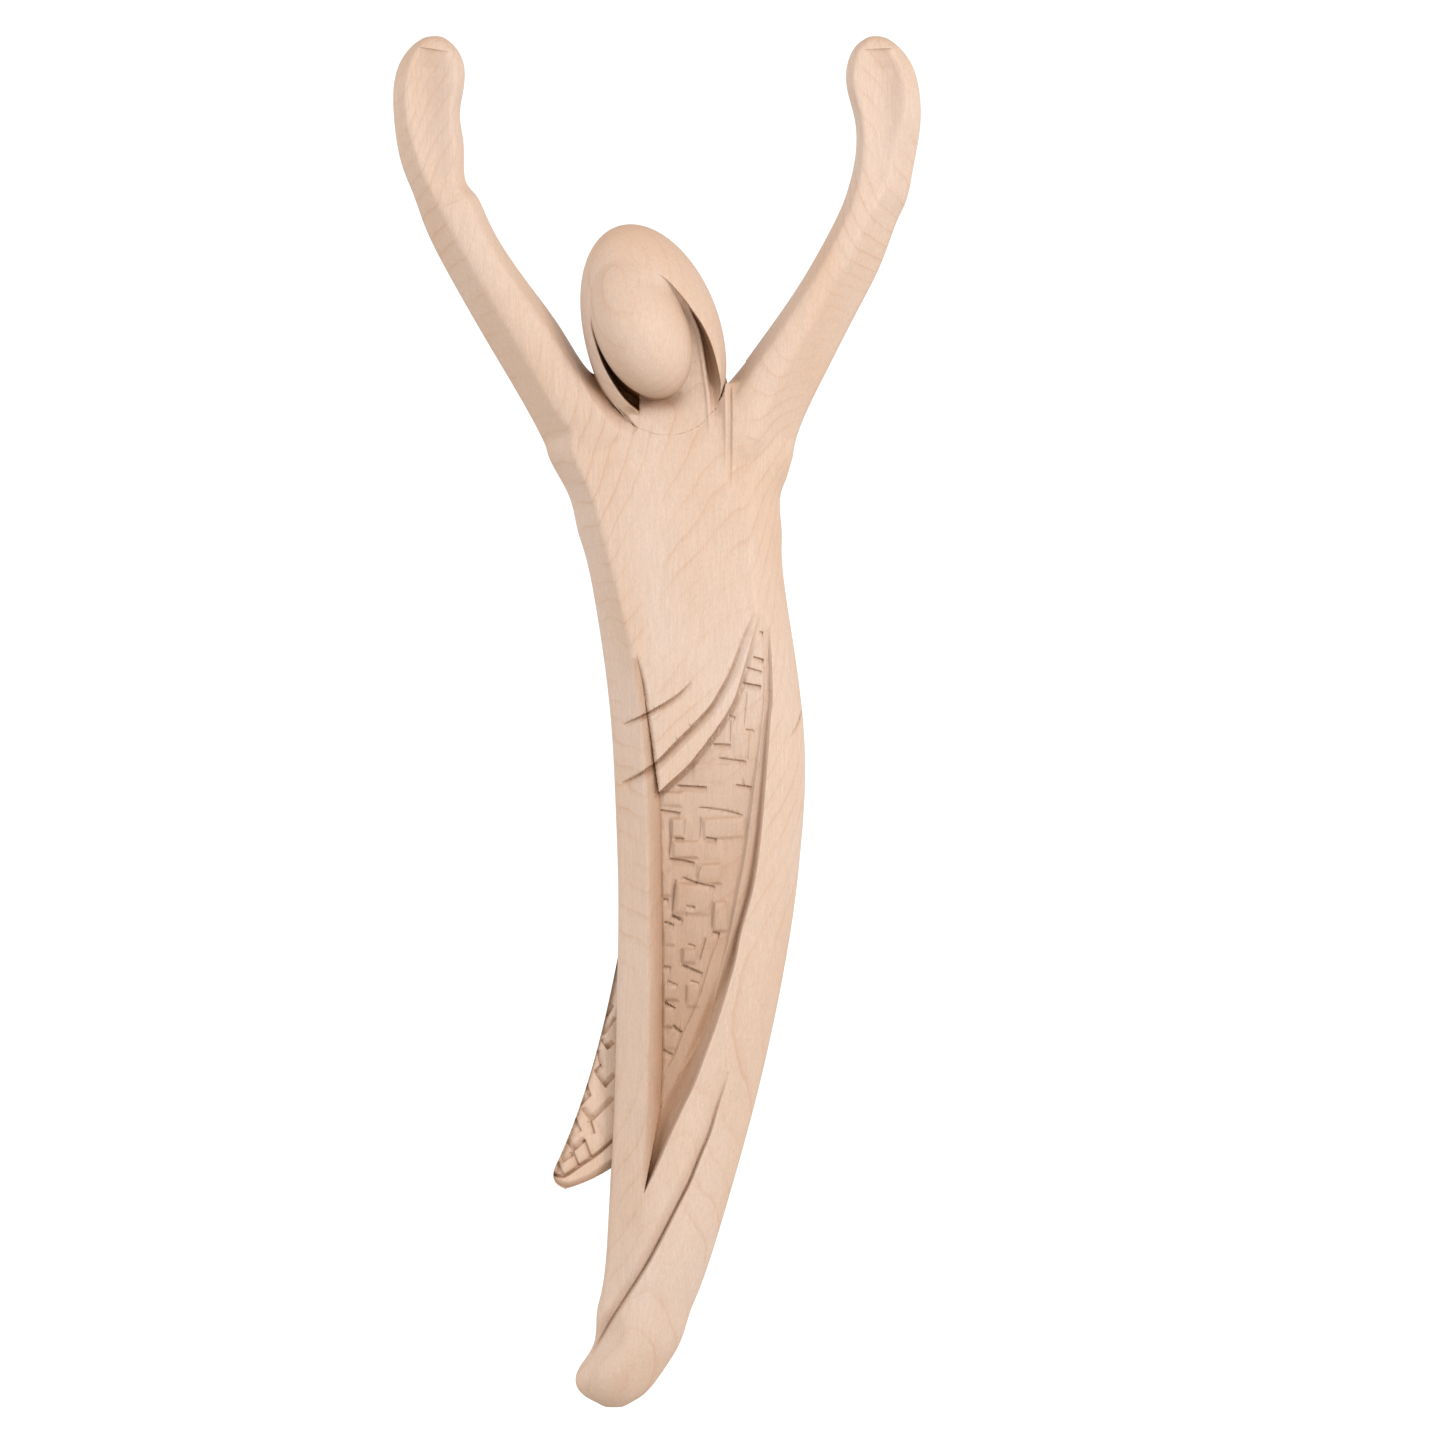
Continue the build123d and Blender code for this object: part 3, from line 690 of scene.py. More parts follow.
# stabs up and down, each going down: the wood on the left is pared away
UPRIGHT_CUTS = [
    ([(20.9, -61.5), (20.4, -66.8), (20.0, -72.0)], 0.3),
    ([(21.6, -73.5), (21.1, -81.5)], 0.3),
    ([(16.2, -69.5), (16.0, -76.2)], 0.35),
    ([(-0.9, -98.2), (-0.9, -102.7), (-1.6, -109.4)], 0.75),
    ([(2.9, -98.2), (2.7, -103.6)], 0.3),
    ([(7.6, -97.8), (7.2, -103.9)], 0.35),
    ([(0.4, -116.0), (-0.2, -121.0), (-0.7, -126.0)], 0.7),
    ([(7.6, -112.0), (6.5, -115.5)], 0.35),
    ([(11.6, -122.2), (10.7, -130.6)], 0.45),
    ([(9.1, -132.9), (7.1, -139.5)], 0.5),
    ([(2.4, -136.0), (2.2, -140.3)], 0.5),
    ([(3.6, -146.7), (3.0, -152.0)], 0.35),
]
PANEL_BORDER = [(13.3, -128.0), (12.6, -132.8), (10.1, -139.5), (7.9, -147.0), (5.3, -154.2), (2.1, -160.8),
                (-0.5, -167.5), (-3.4, -172.4)]
BLOCKS = [
    # left, right, low, high, lift, tilt across and up
    (-3.6, 2.2, -94.6, -90.6, 0.30, (0.2, 0.3)),
    (-0.9, 2.7, -103.6, -98.3, 0.35, (-0.1, 0.3)),
    (3.2, 7.0, -103.8, -97.8, 0.05, (0.1, 0.2)),
    (8.3, 20.0, -103.9, -98.0, 0.30, (-0.3, 0.2)),
    (-0.5, 6.8, -109.6, -104.8, 0.38, (0.1, 0.2)),
    (7.4, 13.4, -110.0, -105.0, 0.10, (0.0, 0.2)),
    (6.6, 13.4, -117.2, -111.4, 0.40, (0.2, 0.3)),
    (0.3, 10.2, -125.9, -117.2, 0.30, (-0.2, 0.3)),
    (-3.8, -1.0, -120.6, -113.4, 0.25, (0.2, 0.0)),
    (11.3, 15.3, -130.9, -122.3, 0.35, (-0.3, 0.2)),
    (2.4, 6.2, -140.2, -136.0, 0.35, (-0.1, 0.3)),
    (-3.4, -0.2, -135.0, -129.6, 0.25, (0.3, 0.2)),
    (-3.4, -0.2, -140.8, -136.0, 0.10, (0.2, 0.1)),
    (-3.4, 1.3, -151.0, -146.2, 0.40, (0.1, 0.3)),
    (3.6, 7.0, -152.8, -146.6, 0.25, (-0.2, 0.1)),
    (-3.4, -0.1, -158.8, -152.6, 0.40, (0.2, 0.2)),
    (-3.4, 0.0, -165.0, -161.0, 0.20, (0.2, 0.2)),
    (5.4, 15.6, -87.8, -82.5, 0.15, (0.0, 0.3)),
    (17.0, 21.8, -80.5, -73.8, 0.15, (0.1, 0.2)),
]
LIFT, LEVEL_DEPTH, UPRIGHT_DEPTH = 2.7, 1.35, 1.2
weave = []
for *box, lift, tilt in BLOCKS:
    lean = 0.06 * math.sin(7 * lift + box[2])  # no two blocks lean alike
    weave.append(Patch(*box, LIFT * lift, tilt, lean=lean, soft=1.3))
stabs = [Stroke(line, LEVEL_DEPTH * hard, 0.2, 1.9, ends=(0.12, 0.12)) for line, hard in LEVEL_CUTS]
stabs += [Stroke(line, UPRIGHT_DEPTH * hard, 0.2, 1.2, ends=(0.15, 0.15)) for line, hard in UPRIGHT_CUTS]
stabs += [Stroke(PANEL_BORDER, 0.4, 0.3, 0.6, ends=(0.2, 0.1))]
print("weave:", len(weave), "blocks and", len(stabs), "cuts")

# %% [markdown]
# ## Shoulders, neck and hands
# The chest is one broad plane. A lock of hair runs down it as a thin bead between two grooves, and to the
# right of it the shoulder dips in a long V. Both palms are shallow scoops, cut with a wide gouge so that a
# thin bright rim stands round the fingers.

# %% Chest and palms
chest = [
    # the lock: a thin bead, and the groove on its right
    Stroke([(13.0, 36.0), (14.0, 30.0), (14.7, 24.0), (14.9, 12.0), (14.9, 3.0), (15.0, -5.0)],
           -0.9, 1.3, 1.0, shape="gouge", ends=(0.2, 0.9)),
    Stroke([(16.0, 28.0), (16.2, 22.0), (16.2, 12.0), (16.0, 3.0), (15.7, -3.0)],
           0.7, 0.6, 2.0, shape="gouge", ends=(0.1, 0.5)),
    # the long V to the right of it
    Stroke([(22.6, 12.0), (20.0, 4.0), (17.0, -4.0)], 0.6, 6.0, 6.0, shape="gouge", ends=(0.3, 0.4)),
    # the shoulder dips where the hood's left rim meets it
    Stroke([(-25.4, 36.0), (-23.0, 29.6), (-19.7, 23.9), (-15.4, 18.8), (-10.8, 14.8)],
           2.8, 0.5, 4.0, ends=(0.0, 0.8)),
]
SCOOP_DEPTH, SCOOP_REACH = 2.6, 8.6
palms = [
    Stroke(line, SCOOP_DEPTH, SCOOP_REACH, SCOOP_REACH, shape="gouge", ends=(0.12, 0.75))
    for line in (
        [(-71.2, 125.5), (-72.6, 116.0), (-72.4, 104.0), (-70.0, 92.0), (-65.5, 80.0)],
        [(60.5, 125.5), (61.0, 114.0), (61.4, 102.0), (59.6, 91.0), (55.5, 80.0)],
    )
]
print("chest:", len(chest), "strokes, palms:", len(palms))

# %% [markdown]
# ## Hood, face and neck
# The hood is an egg that leans over, hollowed from below so that a blank face stands out of it. On the
# left a deep slot parts the face from the hood's thin rim. On the right the neck runs up beside the face
# as a narrow strip with a sharp lip, and a gouged channel parts it from the hood's broad band. At the top
# the face melts into the hood. All of it is given as depths in the front view, and the largest wins.

# %% Hollow the hood
RIM = smooth_line([(-11.2, 19.7), (-15.6, 24.2), (-20.0, 31.3), (-22.9, 38.4), (-24.7, 45.0), (-24.5, 51.7)])
BAND = smooth_line([(-8.05, 61.5), (-2.3, 57.5), (2.2, 52.6), (4.8, 49.1), (7.9, 44.6), (10.4, 39.3),
                    (12.0, 33.9), (13.3, 27.3), (13.9, 20.6), (13.9, 10.0), (13.9, 0.0)])
LIP = smooth_line([(4.3, 49.6), (7.1, 42.8), (8.4, 36.2), (9.3, 29.5), (10.0, 25.0), (10.6, 16.6), (10.8,
                                                                                                    12.0)])
# (z, depth) of the neck's surface, of the slot's floor below the hood and of the channel's below the neck
NECK = [(6.0, 25.2), (12.0, 24.5), (16.0, 24.0), (20.0, 23.4), (25.0, 22.9), (30.0, 22.9), (36.0, 23.8),
        (42.0, 25.2), (48.0, 27.6), (52.0, 29.7), (57.0, 31.4), (61.5, 32.3)]
SLOT_DEPTH = [(18.6, 0.0), (20.0, 8.0), (22.0, 16.0), (33.0, 15.0), (36.5, 9.0), (40.0, 3.5), (45.0, 1.6),
              (53.0, 0.0)]
CHANNEL_DEPTH = [(16.5, 0.0), (22.0, 0.9), (28.0, 2.0), (34.0, 2.8), (40.0, 3.0), (46.0, 2.4), (51.0, 0.8),
                 (56.0, 0.0)]
NECK_EDGE = -10.4  # x where the neck ends on the left, beside the slot


def egg(x, z, shape, tip=0.0):
    """Depth of an egg's front. Past its outline it turns back on itself, so that its wall stays steep."""
    (cx, depth, cz), (across, deep, along), lean = shape
    u = (x - cx) * math.cos(lean) + (z - cz) * math.sin(lean)
    v = (z - cz) * math.cos(lean) - (x - cx) * math.sin(lean)
    reach = hood_reach(np.arctan2(v / along, u / across)) if shape is HOOD else 1.0
    inside = 1 - ((u / across) ** 2 + (v / along) ** 2) / reach**2
    return depth - tip * v + np.where(inside > 0, deep, -30.0) * np.sqrt(np.abs(inside))


def soft_max(a, b, width):
    """The larger of two depths, with the crease between them filled over a width."""
    h = np.clip(0.5 + 0.5 * (a - b) / width, 0, 1)
    return b * (1 - h) + a * h + width * h * (1 - h)


def head_depth(x, z, now, whole):
    """Depth of the front round the head, where the block's own front is at depth now. Where whole is false,
    only the neck takes it, so that it runs on into the chest."""
    hood = egg(x, z, HOOD)
    from_rim, from_band, from_lip = (measure_from(line, x, z)[0] for line in (RIM, BAND, LIP))

    # the rim and the slot behind it, sinking to the neck's level where the rim ends
    left = hood - along_z(SLOT_DEPTH, z) * eased(from_rim / 1.2)
    neck = along_z(NECK, z) - 0.002 * np.minimum(x + 5, 8) ** 2
    near_neck = eased((x + 16.5) / 6) * eased((21.5 - z) / 3)
    left = left * (1 - near_neck) + np.minimum(left, neck) * near_neck

    # the neck, hollowed under the chin and rising into the hood at the top
    neck = neck - 3.2 * np.exp(-(((z - 24.5) / 3.2) ** 2) - ((x + 6.5) / 7.5) ** 4)
    past_edge = np.maximum(NECK_EDGE - x, 0)
    neck_left = neck - 0.12 * past_edge**1.6 - 30 * eased((z - 18.5) / 1.4) * np.clip(past_edge / 0.5, 0, 1)
    rising = hood - (hood - neck) * eased((63 - z) / 9)
    neck = np.where(z > 50, rising, neck)
    low_left = np.where(x < NECK_EDGE, soft_max(neck_left, left, 0.6), neck)
    base = np.where(z > 24, np.where(x > NECK_EDGE - 0.2, neck, left), low_left)

    # the channel, steep at the lip, and the lip itself
    across = np.clip(-from_lip / np.maximum(from_band - from_lip, 0.05), 0, 1)
    scoop = np.where(from_lip < 0, eased(np.minimum(across / 0.3, (1 - across) / 0.75)), 0)
    base = base - along_z(CHANNEL_DEPTH, z) * scoop
    base += 0.5 * eased(1 - np.abs(from_lip - 0.7) / 0.9) * eased((z - 12) / 6) * eased((54 - z) / 8)

    # the face stands out of all that, and melts into the hood above
    face = egg(x, z, FACE, tip=0.08)
    melt = along_z([(20.0, 0.4), (38.0, 0.8), (48.0, 2.4), (60.0, 4.5)], z)
    hollow = soft_max(face, base, melt)
    inward = np.clip(from_band / along_z([(22.0, 2.6), (28.0, 0.35)], z) + 0.5, 0, 1)
    if whole:
        return hood * (1 - inward) + hollow * inward
    share = eased((z - 7) / 6) * eased((x + 13.5) / 2.5) * eased((24 - z) / 2) * inward
    return now * (1 - share) + hollow * share


def front_depth(points, front, hood=False):
    """Where the front of a block ends up: its own depth, less every cut."""
    x, now, z = points.T
    depth = now.copy()
    near = np.flatnonzero((x > -32) & (x < 20) & (z > 5) & (z < 80))
    depth[near] = head_depth(x[near], z[near], now[near], hood)
    carved = np.zeros(len(points))
    for stroke in folds + weave + stabs + chest + palms:
        stroke.add(x, z, carved)
    return now + (depth - carved - now) * front


# %% [markdown]
# ## The carving itself
# Now every stroke is taken out of the block at once, and out of the hood's own egg with the same strokes, so
# that the neck runs over the joint without a step.

# %% Carve both blocks
def carved_from(thing, name, depth_of, **limits):
    """The carved piece that replaces a block. limits are the number of passes and the shortest edge."""
    points, triangles = to_arrays(thing.data)
    points = drawn(points)
    triangles = triangles[:, ::-1]
    front = facing(points, triangles)
    points, triangles, front = carve(points, triangles, front, depth_of, **limits)
    bpy.data.objects.remove(thing)
    print(name, "has", len(triangles), "triangles")
    return add_object(name, to_mesh(name, modelled(points), triangles[:, ::-1]))


trunk = carved_from(rough, "trunk_piece", front_depth, passes=4)
head = carved_from(
    hood_block, "head_piece", lambda points, front: front_depth(points, front,
                                                                hood=True), passes=5, shortest=0.12
)

# %% [markdown]
# ## Part the block at its glue joints
# Both arms are planed flat where they meet the shoulders, the hood sits in a bowl in the chest, and the
# back has the keyhole plate's bed. The joints are a hair wide and the grain crosses them, so they hardly
# show. Every dowel gets its socket.

# %% Joints
# each joint's outer and inner end, drawn (x, z)
SHOULDER_JOINTS = {"left_arm": ((-42.1, 19.2), (-24.2, 31.0)), "right_arm": ((38.1, 20.3), (17.6, 30.6))}


def slot_outline(half_width, low, high, steps=20):
    """An upright slot with round ends: low and high are the centres of its ends."""
    ends = []
    for centre, start in ((high, 0.0), (low, math.pi)):
        for i in range(steps + 1):
            a = start + math.pi * i / steps
            ends.append((half_width * math.cos(a), centre + half_width * math.sin(a)))
    return ends


def beyond(joint, size=120.0):
    """A box that holds the arm's side of a shoulder joint."""
    (xo, zo), (xi, zi) = joint
    along = Vector((xi - xo, 0, zi - zo)).normalized()
    up = Vector((-along.z, 0, along.x))
    if up.z < 0:
        along, up = -along, -up
    turn = Matrix((along, Vector((0, -1, 0)), up)).transposed()
    if turn.determinant() < 0:
        turn = Matrix((along, Vector((0, 1, 0)), up)).transposed()
    middle = Vector(((xo + xi) / 2, -12.5, (zo + zi) / 2 + SHOULDERS))
    bm = bmesh.new()
    bmesh.ops.create_cube(bm, size=1.0)
    for v in bm.verts:
        v.co = (middle + turn @ Vector((v.co.x * 54, v.co.y * 60, (v.co.z + 0.5) * size))) * MM
    return finished(bm, "beyond")


# the bowl follows the hood's back, and goes straight forward where the hood's front begins to close
FRONT_SHARE = 0.935
bowl = back_half + [pair for pair in front_half if pair[0] > FRONT_SHARE + 0.005]
bowl += [(FRONT_SHARE, HOOD[0][1] + HOOD[1][1] * 0.3547), (FRONT_SHARE, 70.0)]
cut_by(head, hood_space(bowl, around=96), "INTERSECT")
cut_by(trunk, hood_space(bowl, around=96))
arms = {}
for name, joint in SHOULDER_JOINTS.items():
    arms[name] = copy_of(trunk, name + "_piece")
    cut_by(arms[name], beyond(joint), "INTERSECT")
    cut_by(trunk, beyond(joint))
    print(name, "has", len(arms[name].data.polygons), "faces, the trunk", len(trunk.data.polygons))

# %% [markdown]
# ## The cloth end
# The end of the loincloth hangs behind the leg: a thin board, rounded at its edge, cut like plaited straps
# that cross on the slant, with a rolled hem.

# %% Cloth end
HEM = [(-36.5, -202.3), (-33.2, -202.9), (-31.4, -202.3), (-27.8, -199.8), (-22.1, -195.9), (-17.5, -192.0)]
PLAITS = [
    [(-17.9, -152.9), (-20.0, -156.2)],
    [(-16.9, -156.6), (-20.8, -161.6)],
    [(-17.5, -164.0), (-19.7, -165.6)], [(-19.5, -165.8), (-21.6, -162.9)],
    [(-17.0, -173.2), (-20.3, -176.7)], [(-20.1, -176.9), (-23.7, -172.0)], [(-23.6, -172.1), (-21.6,
                                                                                               -170.1)],
    [(-21.8, -170.5), (-22.9, -166.0)],
    [(-26.2, -174.6), (-24.5, -179.3)], [(-24.6, -179.1), (-27.9, -182.2)],
    [(-17.3, -179.9), (-24.4, -186.6)], [(-24.4, -186.6), (-27.3, -183.1)], [(-24.5, -186.4), (-23.4,
                                                                                               -190.2)],
    [(-29.4, -185.0), (-27.3, -189.6)],
    [(-26.0, -192.1), (-29.6, -195.4)], [(-29.5, -195.5), (-32.0, -192.4)], [(-26.3, -191.9), (-24.3,
                                                                                               -197.3)],
    [(-29.7, -195.3), (-27.9, -199.7)],
    [(-29.6, -196.5), (-33.0, -198.7)], [(-34.6, -197.8), (-32.4, -202.3)],
]
whole_way = (0.0, 0.0)
cloth_cuts = [Stroke(HEM, 1.1, 0.9, 0.5, ends=whole_way)]
cloth_cuts += [Stroke(HEM, 0.4, 2.6, 0.2, shape="gouge", ends=whole_way)]
cloth_cuts += [Stroke(line, 0.85, 0.3, 1.7, ends=(0.1, 0.1)) for line in PLAITS]
CLOTH_EDGE = [(-15.9, -135.0), (-17.7, -142.0), (-18.8, -149.8), (-21.8, -159.6), (-26.4, -174.7), (-31.6,
                                                                                                    -191.8),
              (-35.4, -201.5), (-35.3, -204.7), (-31.6, -206.6), (-25.2, -204.6), (-18.5, -200.2), (-13.0,
                                                                                                    -196.4)]
rounding = Stroke(CLOTH_EDGE, 1.8, 2.6, 1.0, shape="gouge", ends=whole_way)


def cloth_depth(points, front):
    """Where the front of the cloth end ends up."""
    cut = np.zeros(len(points))
    for stroke in cloth_cuts + [rounding]:
        stroke.add(points[:, 0], points[:, 2], cut)
    return points[:, 1] - cut * front


cloth_block = joined_copy("cloth_block", ["cloth_end"])
remeshed(cloth_block, 0.4, smoothing=3)
cloth = carved_from(cloth_block, "cloth_piece", cloth_depth, passes=3, shortest=0.14)
cut_by(trunk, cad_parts["cloth_end"].data.copy())

# %% [markdown]
# ## The back
# The figure hangs on a steel keyhole plate let in flush. Behind the keyhole the wood is hollowed, so that
# the wall screw's head has room to slide up.

# %% Plate bed, screw room and sockets
plate_middle, plate_half = (plate_low + plate_high) / 2 / MM, (plate_high - plate_low) / 2 / MM
GAP, BED_DEPTH = 0.15, 1.6
SCREW_ROOM = (5.7, 0.0, 11.0)  # half its width, and the heights of its two ends' centres
SCREW_ROOM_DEPTH = 8.1
bed = plate_half.x + GAP
bed_low = plate_middle.z - plate_half.z - GAP + bed
bed_high = plate_middle.z + plate_half.z + GAP - bed
cut_by(trunk, prism(slot_outline(bed, bed_low, bed_high), BED_DEPTH))
cut_by(trunk, prism(slot_outline(*SCREW_ROOM), SCREW_ROOM_DEPTH))
for thing, nodes in (
    (trunk, ["left_shoulder_dowels", "right_shoulder_dowels", "neck_dowel", "cloth_end_dowels",
             "plate_screws"]),
    (arms["left_arm"], ["left_shoulder_dowels"]),
    (arms["right_arm"], ["right_shoulder_dowels"]),
    (head, ["neck_dowel"]),
    (cloth, ["cloth_end_dowels"]),
):
    for node in nodes:
        cut_by(thing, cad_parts[node].data.copy())
print("trunk with its sockets:", len(trunk.data.polygons), "faces")

# %% [markdown]
# ## Put the pieces in place
# Every carved piece stands for its CAD node and keeps its place.

# %% Pieces
SHARP = math.radians(50)
pieces = {"trunk": trunk, "head": head, "cloth_end": cloth, **arms}
for node, thing in pieces.items():
    thing.name = thing.data.name = "carved_" + node
    thing.data.set_sharp_from_angle(angle=SHARP)
    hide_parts(node)
    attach(thing, "root")
    print(thing.name, "has", len(thing.data.polygons), "faces")

# %% [markdown]
# ## Painted shade in the cuts
# The big faces stay pale. The shade that falls into the cuts, the creases, the slot, the channel and under
# the chin is painted into the wood's colour. Each point gets a painted shade from how it was cut.

# %% Painted shade of the cuts
def relief(strokes, x, z):
    """How deep all these strokes together cut at each point."""
    cut = np.zeros(len(x))
    for stroke in strokes:
        stroke.add(x, z, cut)
    return np.maximum(cut, 0)


def head_painted_shade(x, z):
    """The painted shade in the channel, in the slot and under the chin."""
    from_band, from_lip = measure_from(BAND, x, z)[0], measure_from(LIP, x, z)[0]
    in_channel = (from_lip < 0) & (from_band > 0)
    channel = np.where(in_channel, along_z(CHANNEL_DEPTH, z) * 0.5, 0)
    in_slot = eased(measure_from(RIM, x, z)[0]) * (x < -10.2) * (z > 18.5) * (egg(x, z, FACE) < 26.5)
    slot = in_slot * along_z(SLOT_DEPTH, z) * 0.2
    painted_chin_shadow = 0.8 * np.exp(-(((z - 23.2) / 2.2) ** 2) - ((x + 6.5) / 6.5) ** 4) * (egg(x, z, FACE) < 25.5)
    return channel + slot + painted_chin_shadow


def knife_line(stroke, width=0.45):
    """A painted shadow line at the bottom of a cut: its lit slopes stay pale."""
    return Stroke(stroke.points, 1.0, 0.3, width, ends=stroke.ends)


# painted shadow lines along the deeper folds and the level stabs; lips are the lit slopes below the stabs
fold_lines = [knife_line(stroke, 0.6) for stroke in folds[1:] if stroke.depth > 0.6]
lips = [Stroke(line, 1.0, 0.2, 1.8, ends=(0.1, 0.1)) for line, _ in LEVEL_CUTS]
stab_lines = [knife_line(stroke) for stroke in stabs[:len(LEVEL_CUTS)]]


# (z, painted shade for each mm that the woven floor is sunk)
FLOOR_SHADE = [(-190.0, 0.34), (-150.0, 0.3), (-100.0, 0.18), (-60.0, 0.1)]


def painted_shade_of(points):
    """Painted shade, from 0 on the sanded faces to 1 at the bottom of a deep cut."""
    x, depth, z = points.T
    tone = along_z(FLOOR_SHADE, z) * relief(folds[:1], x, z)
    # the lit lips below the stabs lose most of their painted shade
    tone *= 1 - 0.85 * np.clip(relief(lips, x, z), 0, 1)
    tone += 0.12 * relief(folds[1:], x, z) + 0.15 * relief(stabs, x, z)
    tone += 0.9 * relief(stab_lines, x, z) + 0.6 * relief(fold_lines, x, z)
    # painted shade on the left strip's slope down into the panel
    past_edge = x - along_z(STRIP_EDGE, z) + 0.6
    on_shaded_slope = (past_edge > 0) & (x < along_z(SLOPE_FOOT, z) + 0.5) & (z < -52) & (z > -206)
    tone += 0.6 * on_shaded_slope * eased(past_edge / 1.5)
    # painted shade in the palms, along the lock's grooves and, stronger, in the crease under the hood's left
    # rim
    tone += 0.06 * relief(palms, x, z) + 0.12 * relief(chest, x, z) + 0.4 * relief(chest[-1:], x, z)
    near = np.flatnonzero((x > -32) & (x < 20) & (z > 12) & (z < 60))
    tone[near] += head_painted_shade(x[near], z[near])
    return (1 - np.exp(-tone)) * eased((depth - 4) / 3)


def store_painted_shade(thing, tones_of):
    """Writes the painted shade of each point into the mesh, where the wood's material reads it."""
    points, _ = to_arrays(thing.data)
    layer = thing.data.attributes.new("tone", "FLOAT", "POINT")
    painted_shade_values = tones_of(drawn(points)).astype(np.float32)
    layer.data.foreach_set("value", painted_shade_values)
    print("tone of", thing.name, "is up to", round(float(painted_shade_values.max()), 2))


# painted shade in the cuts of the hem and the plaits
def cloth_painted_shade(points):
    x, depth, z = points.T
    return (1 - np.exp(-0.55 * relief(cloth_cuts, x, z))) * (depth > 8)


for thing in (trunk, head, *arms.values()):
    store_painted_shade(thing, painted_shade_of)
store_painted_shade(cloth, cloth_painted_shade)

# %% [markdown]
# ## Maple
# The wood is maple, sanded and left without finish, so it is pale, warm and dull. The rings are thin
# orange-brown lines where the year's growth stopped. They lie round a heart that runs up behind the figure
# and bows, so the front shows them as long arches over the chest and as hanging ones on the foot. Between
# them are short pores and fibres, along the trunk. All of it is laid out in space, so it runs on from piece
# to piece.

# %% Node helpers
def to_linear(code):
    """An sRGB colour written as six hex digits, as linear red, green, blue and alpha."""
    values = [int(code[i : i + 2], 16) / 255 for i in (0, 2, 4)]
    return tuple(v / 12.92 if v <= 0.04045 else ((v + 0.055) / 1.055) ** 2.4 for v in values) + (1.0,)


def new_material(name):
    material = bpy.data.materials.new(name)
    material.use_nodes = True
    return material, material.node_tree.nodes["Principled BSDF"]


def node(material, kind, settings=None, **inputs):
    """Adds a node, sets its properties, and fills or links its inputs, named or numbered as i0, i1."""
    made = material.node_tree.nodes.new(kind)
    for key, value in (settings or {}).items():
        setattr(made, key, value)
    for key, value in inputs.items():
        numbered = key[0] == "i" and key[1:].isdigit()
        socket = made.inputs[int(key[1:]) if numbered else key.replace("_", " ")]
        if isinstance(value, bpy.types.NodeSocket):
            material.node_tree.links.new(value, socket)
        else:
            socket.default_value = value
    return made


def maths(material, operation, *values):
    return node(material, "ShaderNodeMath", {"operation": operation}, **{f"i{i}": v for i,
                                                                         v in enumerate(values)}).outputs[0]


def mix(material, share, a, b, blend="MIX"):
    made = node(material, "ShaderNodeMix", {"data_type": "RGBA", "blend_type": blend}, i0=share, i6=a, i7=b)
    return made.outputs[2]


def noise(material, where, size_mm, detail=2.0, roughness=0.5):
    """Noise whose lumps measure about size_mm along x, y and z."""
    scale = node(material, "ShaderNodeVectorMath", {"operation": "MULTIPLY"}, i0=where,
                 i1=tuple(1 / (s * MM) for s in size_mm)).outputs[0]
    return node(material, "ShaderNodeTexNoise", Vector=scale, Scale=1.0, Detail=detail,
                Roughness=roughness).outputs[0]


# %% Maple
RING_STEP = 3.1  # mm between rings, straight out from the heart
HEART_BEHIND = 22.0  # how far the heart lies behind the wall plane, in mm
HEART_X = [(-240, -26), (-200, -16), (-120, 4), (-40, 30), (-5, 34), (30, 26), (70, 10), (160,
                                                                                          0)]  # (z, x) in mm
RING_BOW = 0.4  # mm that a ring comes nearer for each mm up or down from the bow's middle
BOW_MIDDLE, BOW_SOFT = -118.0, 34.0
maple, surface = new_material("maple")
where = node(maple, "ShaderNodeTexCoord").outputs["Object"]
split = node(maple, "ShaderNodeSeparateXYZ", i0=where)
x, y, z = (maths(maple, "DIVIDE", split.outputs[i], MM) for i in range(3))
low, high = HEART_X[0][0], HEART_X[-1][0]
left, right = min(v for _, v in HEART_X), max(v for _, v in HEART_X)
path = node(maple, "ShaderNodeValToRGB", Fac=maths(maple, "DIVIDE", maths(maple, "SUBTRACT", z, low),
                                                   high - low))
path.color_ramp.interpolation = "B_SPLINE"
for i, (at, value) in enumerate(HEART_X):
    stops = path.color_ramp.elements
    place = (at - low) / (high - low)
    stop = stops[0] if i == 0 else stops[-1] if i == len(HEART_X) - 1 else stops.new(place)
    share = (value - left) / (right - left)
    stop.color = (share, share, share, 1)
heart_x = maths(maple, "ADD", maths(maple, "MULTIPLY", path.outputs[0], right - left), left)
wander = maths(maple, "MULTIPLY", maths(maple, "SUBTRACT", noise(maple, where, (70, 70, 90), detail=1.0),
                                        0.5), 26.0)
ripple = maths(maple, "MULTIPLY", maths(maple, "SUBTRACT", noise(maple, where, (10, 10, 22), detail=2.0),
                                        0.5), 2.2)
from_heart_x = maths(maple, "ADD", maths(maple, "SUBTRACT", x, heart_x), wander)
from_heart_y = maths(maple, "SUBTRACT", y, HEART_BEHIND)
squares = maths(maple, "ADD", maths(maple, "POWER", from_heart_x, 2.0), maths(maple, "POWER",
                                                                              from_heart_y, 2.0))
rise = maths(maple, "POWER", maths(maple, "SUBTRACT", z, BOW_MIDDLE), 2.0)
bow = maths(maple, "MULTIPLY", maths(maple, "SQRT", maths(maple, "ADD", rise, BOW_SOFT**2)), RING_BOW)
radius = maths(maple, "ADD", maths(maple, "ADD", maths(maple, "SQRT", squares), bow), ripple)
rings = maths(maple, "DIVIDE", radius, RING_STEP)
phase = maths(maple, "FRACT", rings)
line = node(maple, "ShaderNodeValToRGB", Fac=phase)
line_stops = line.color_ramp.elements
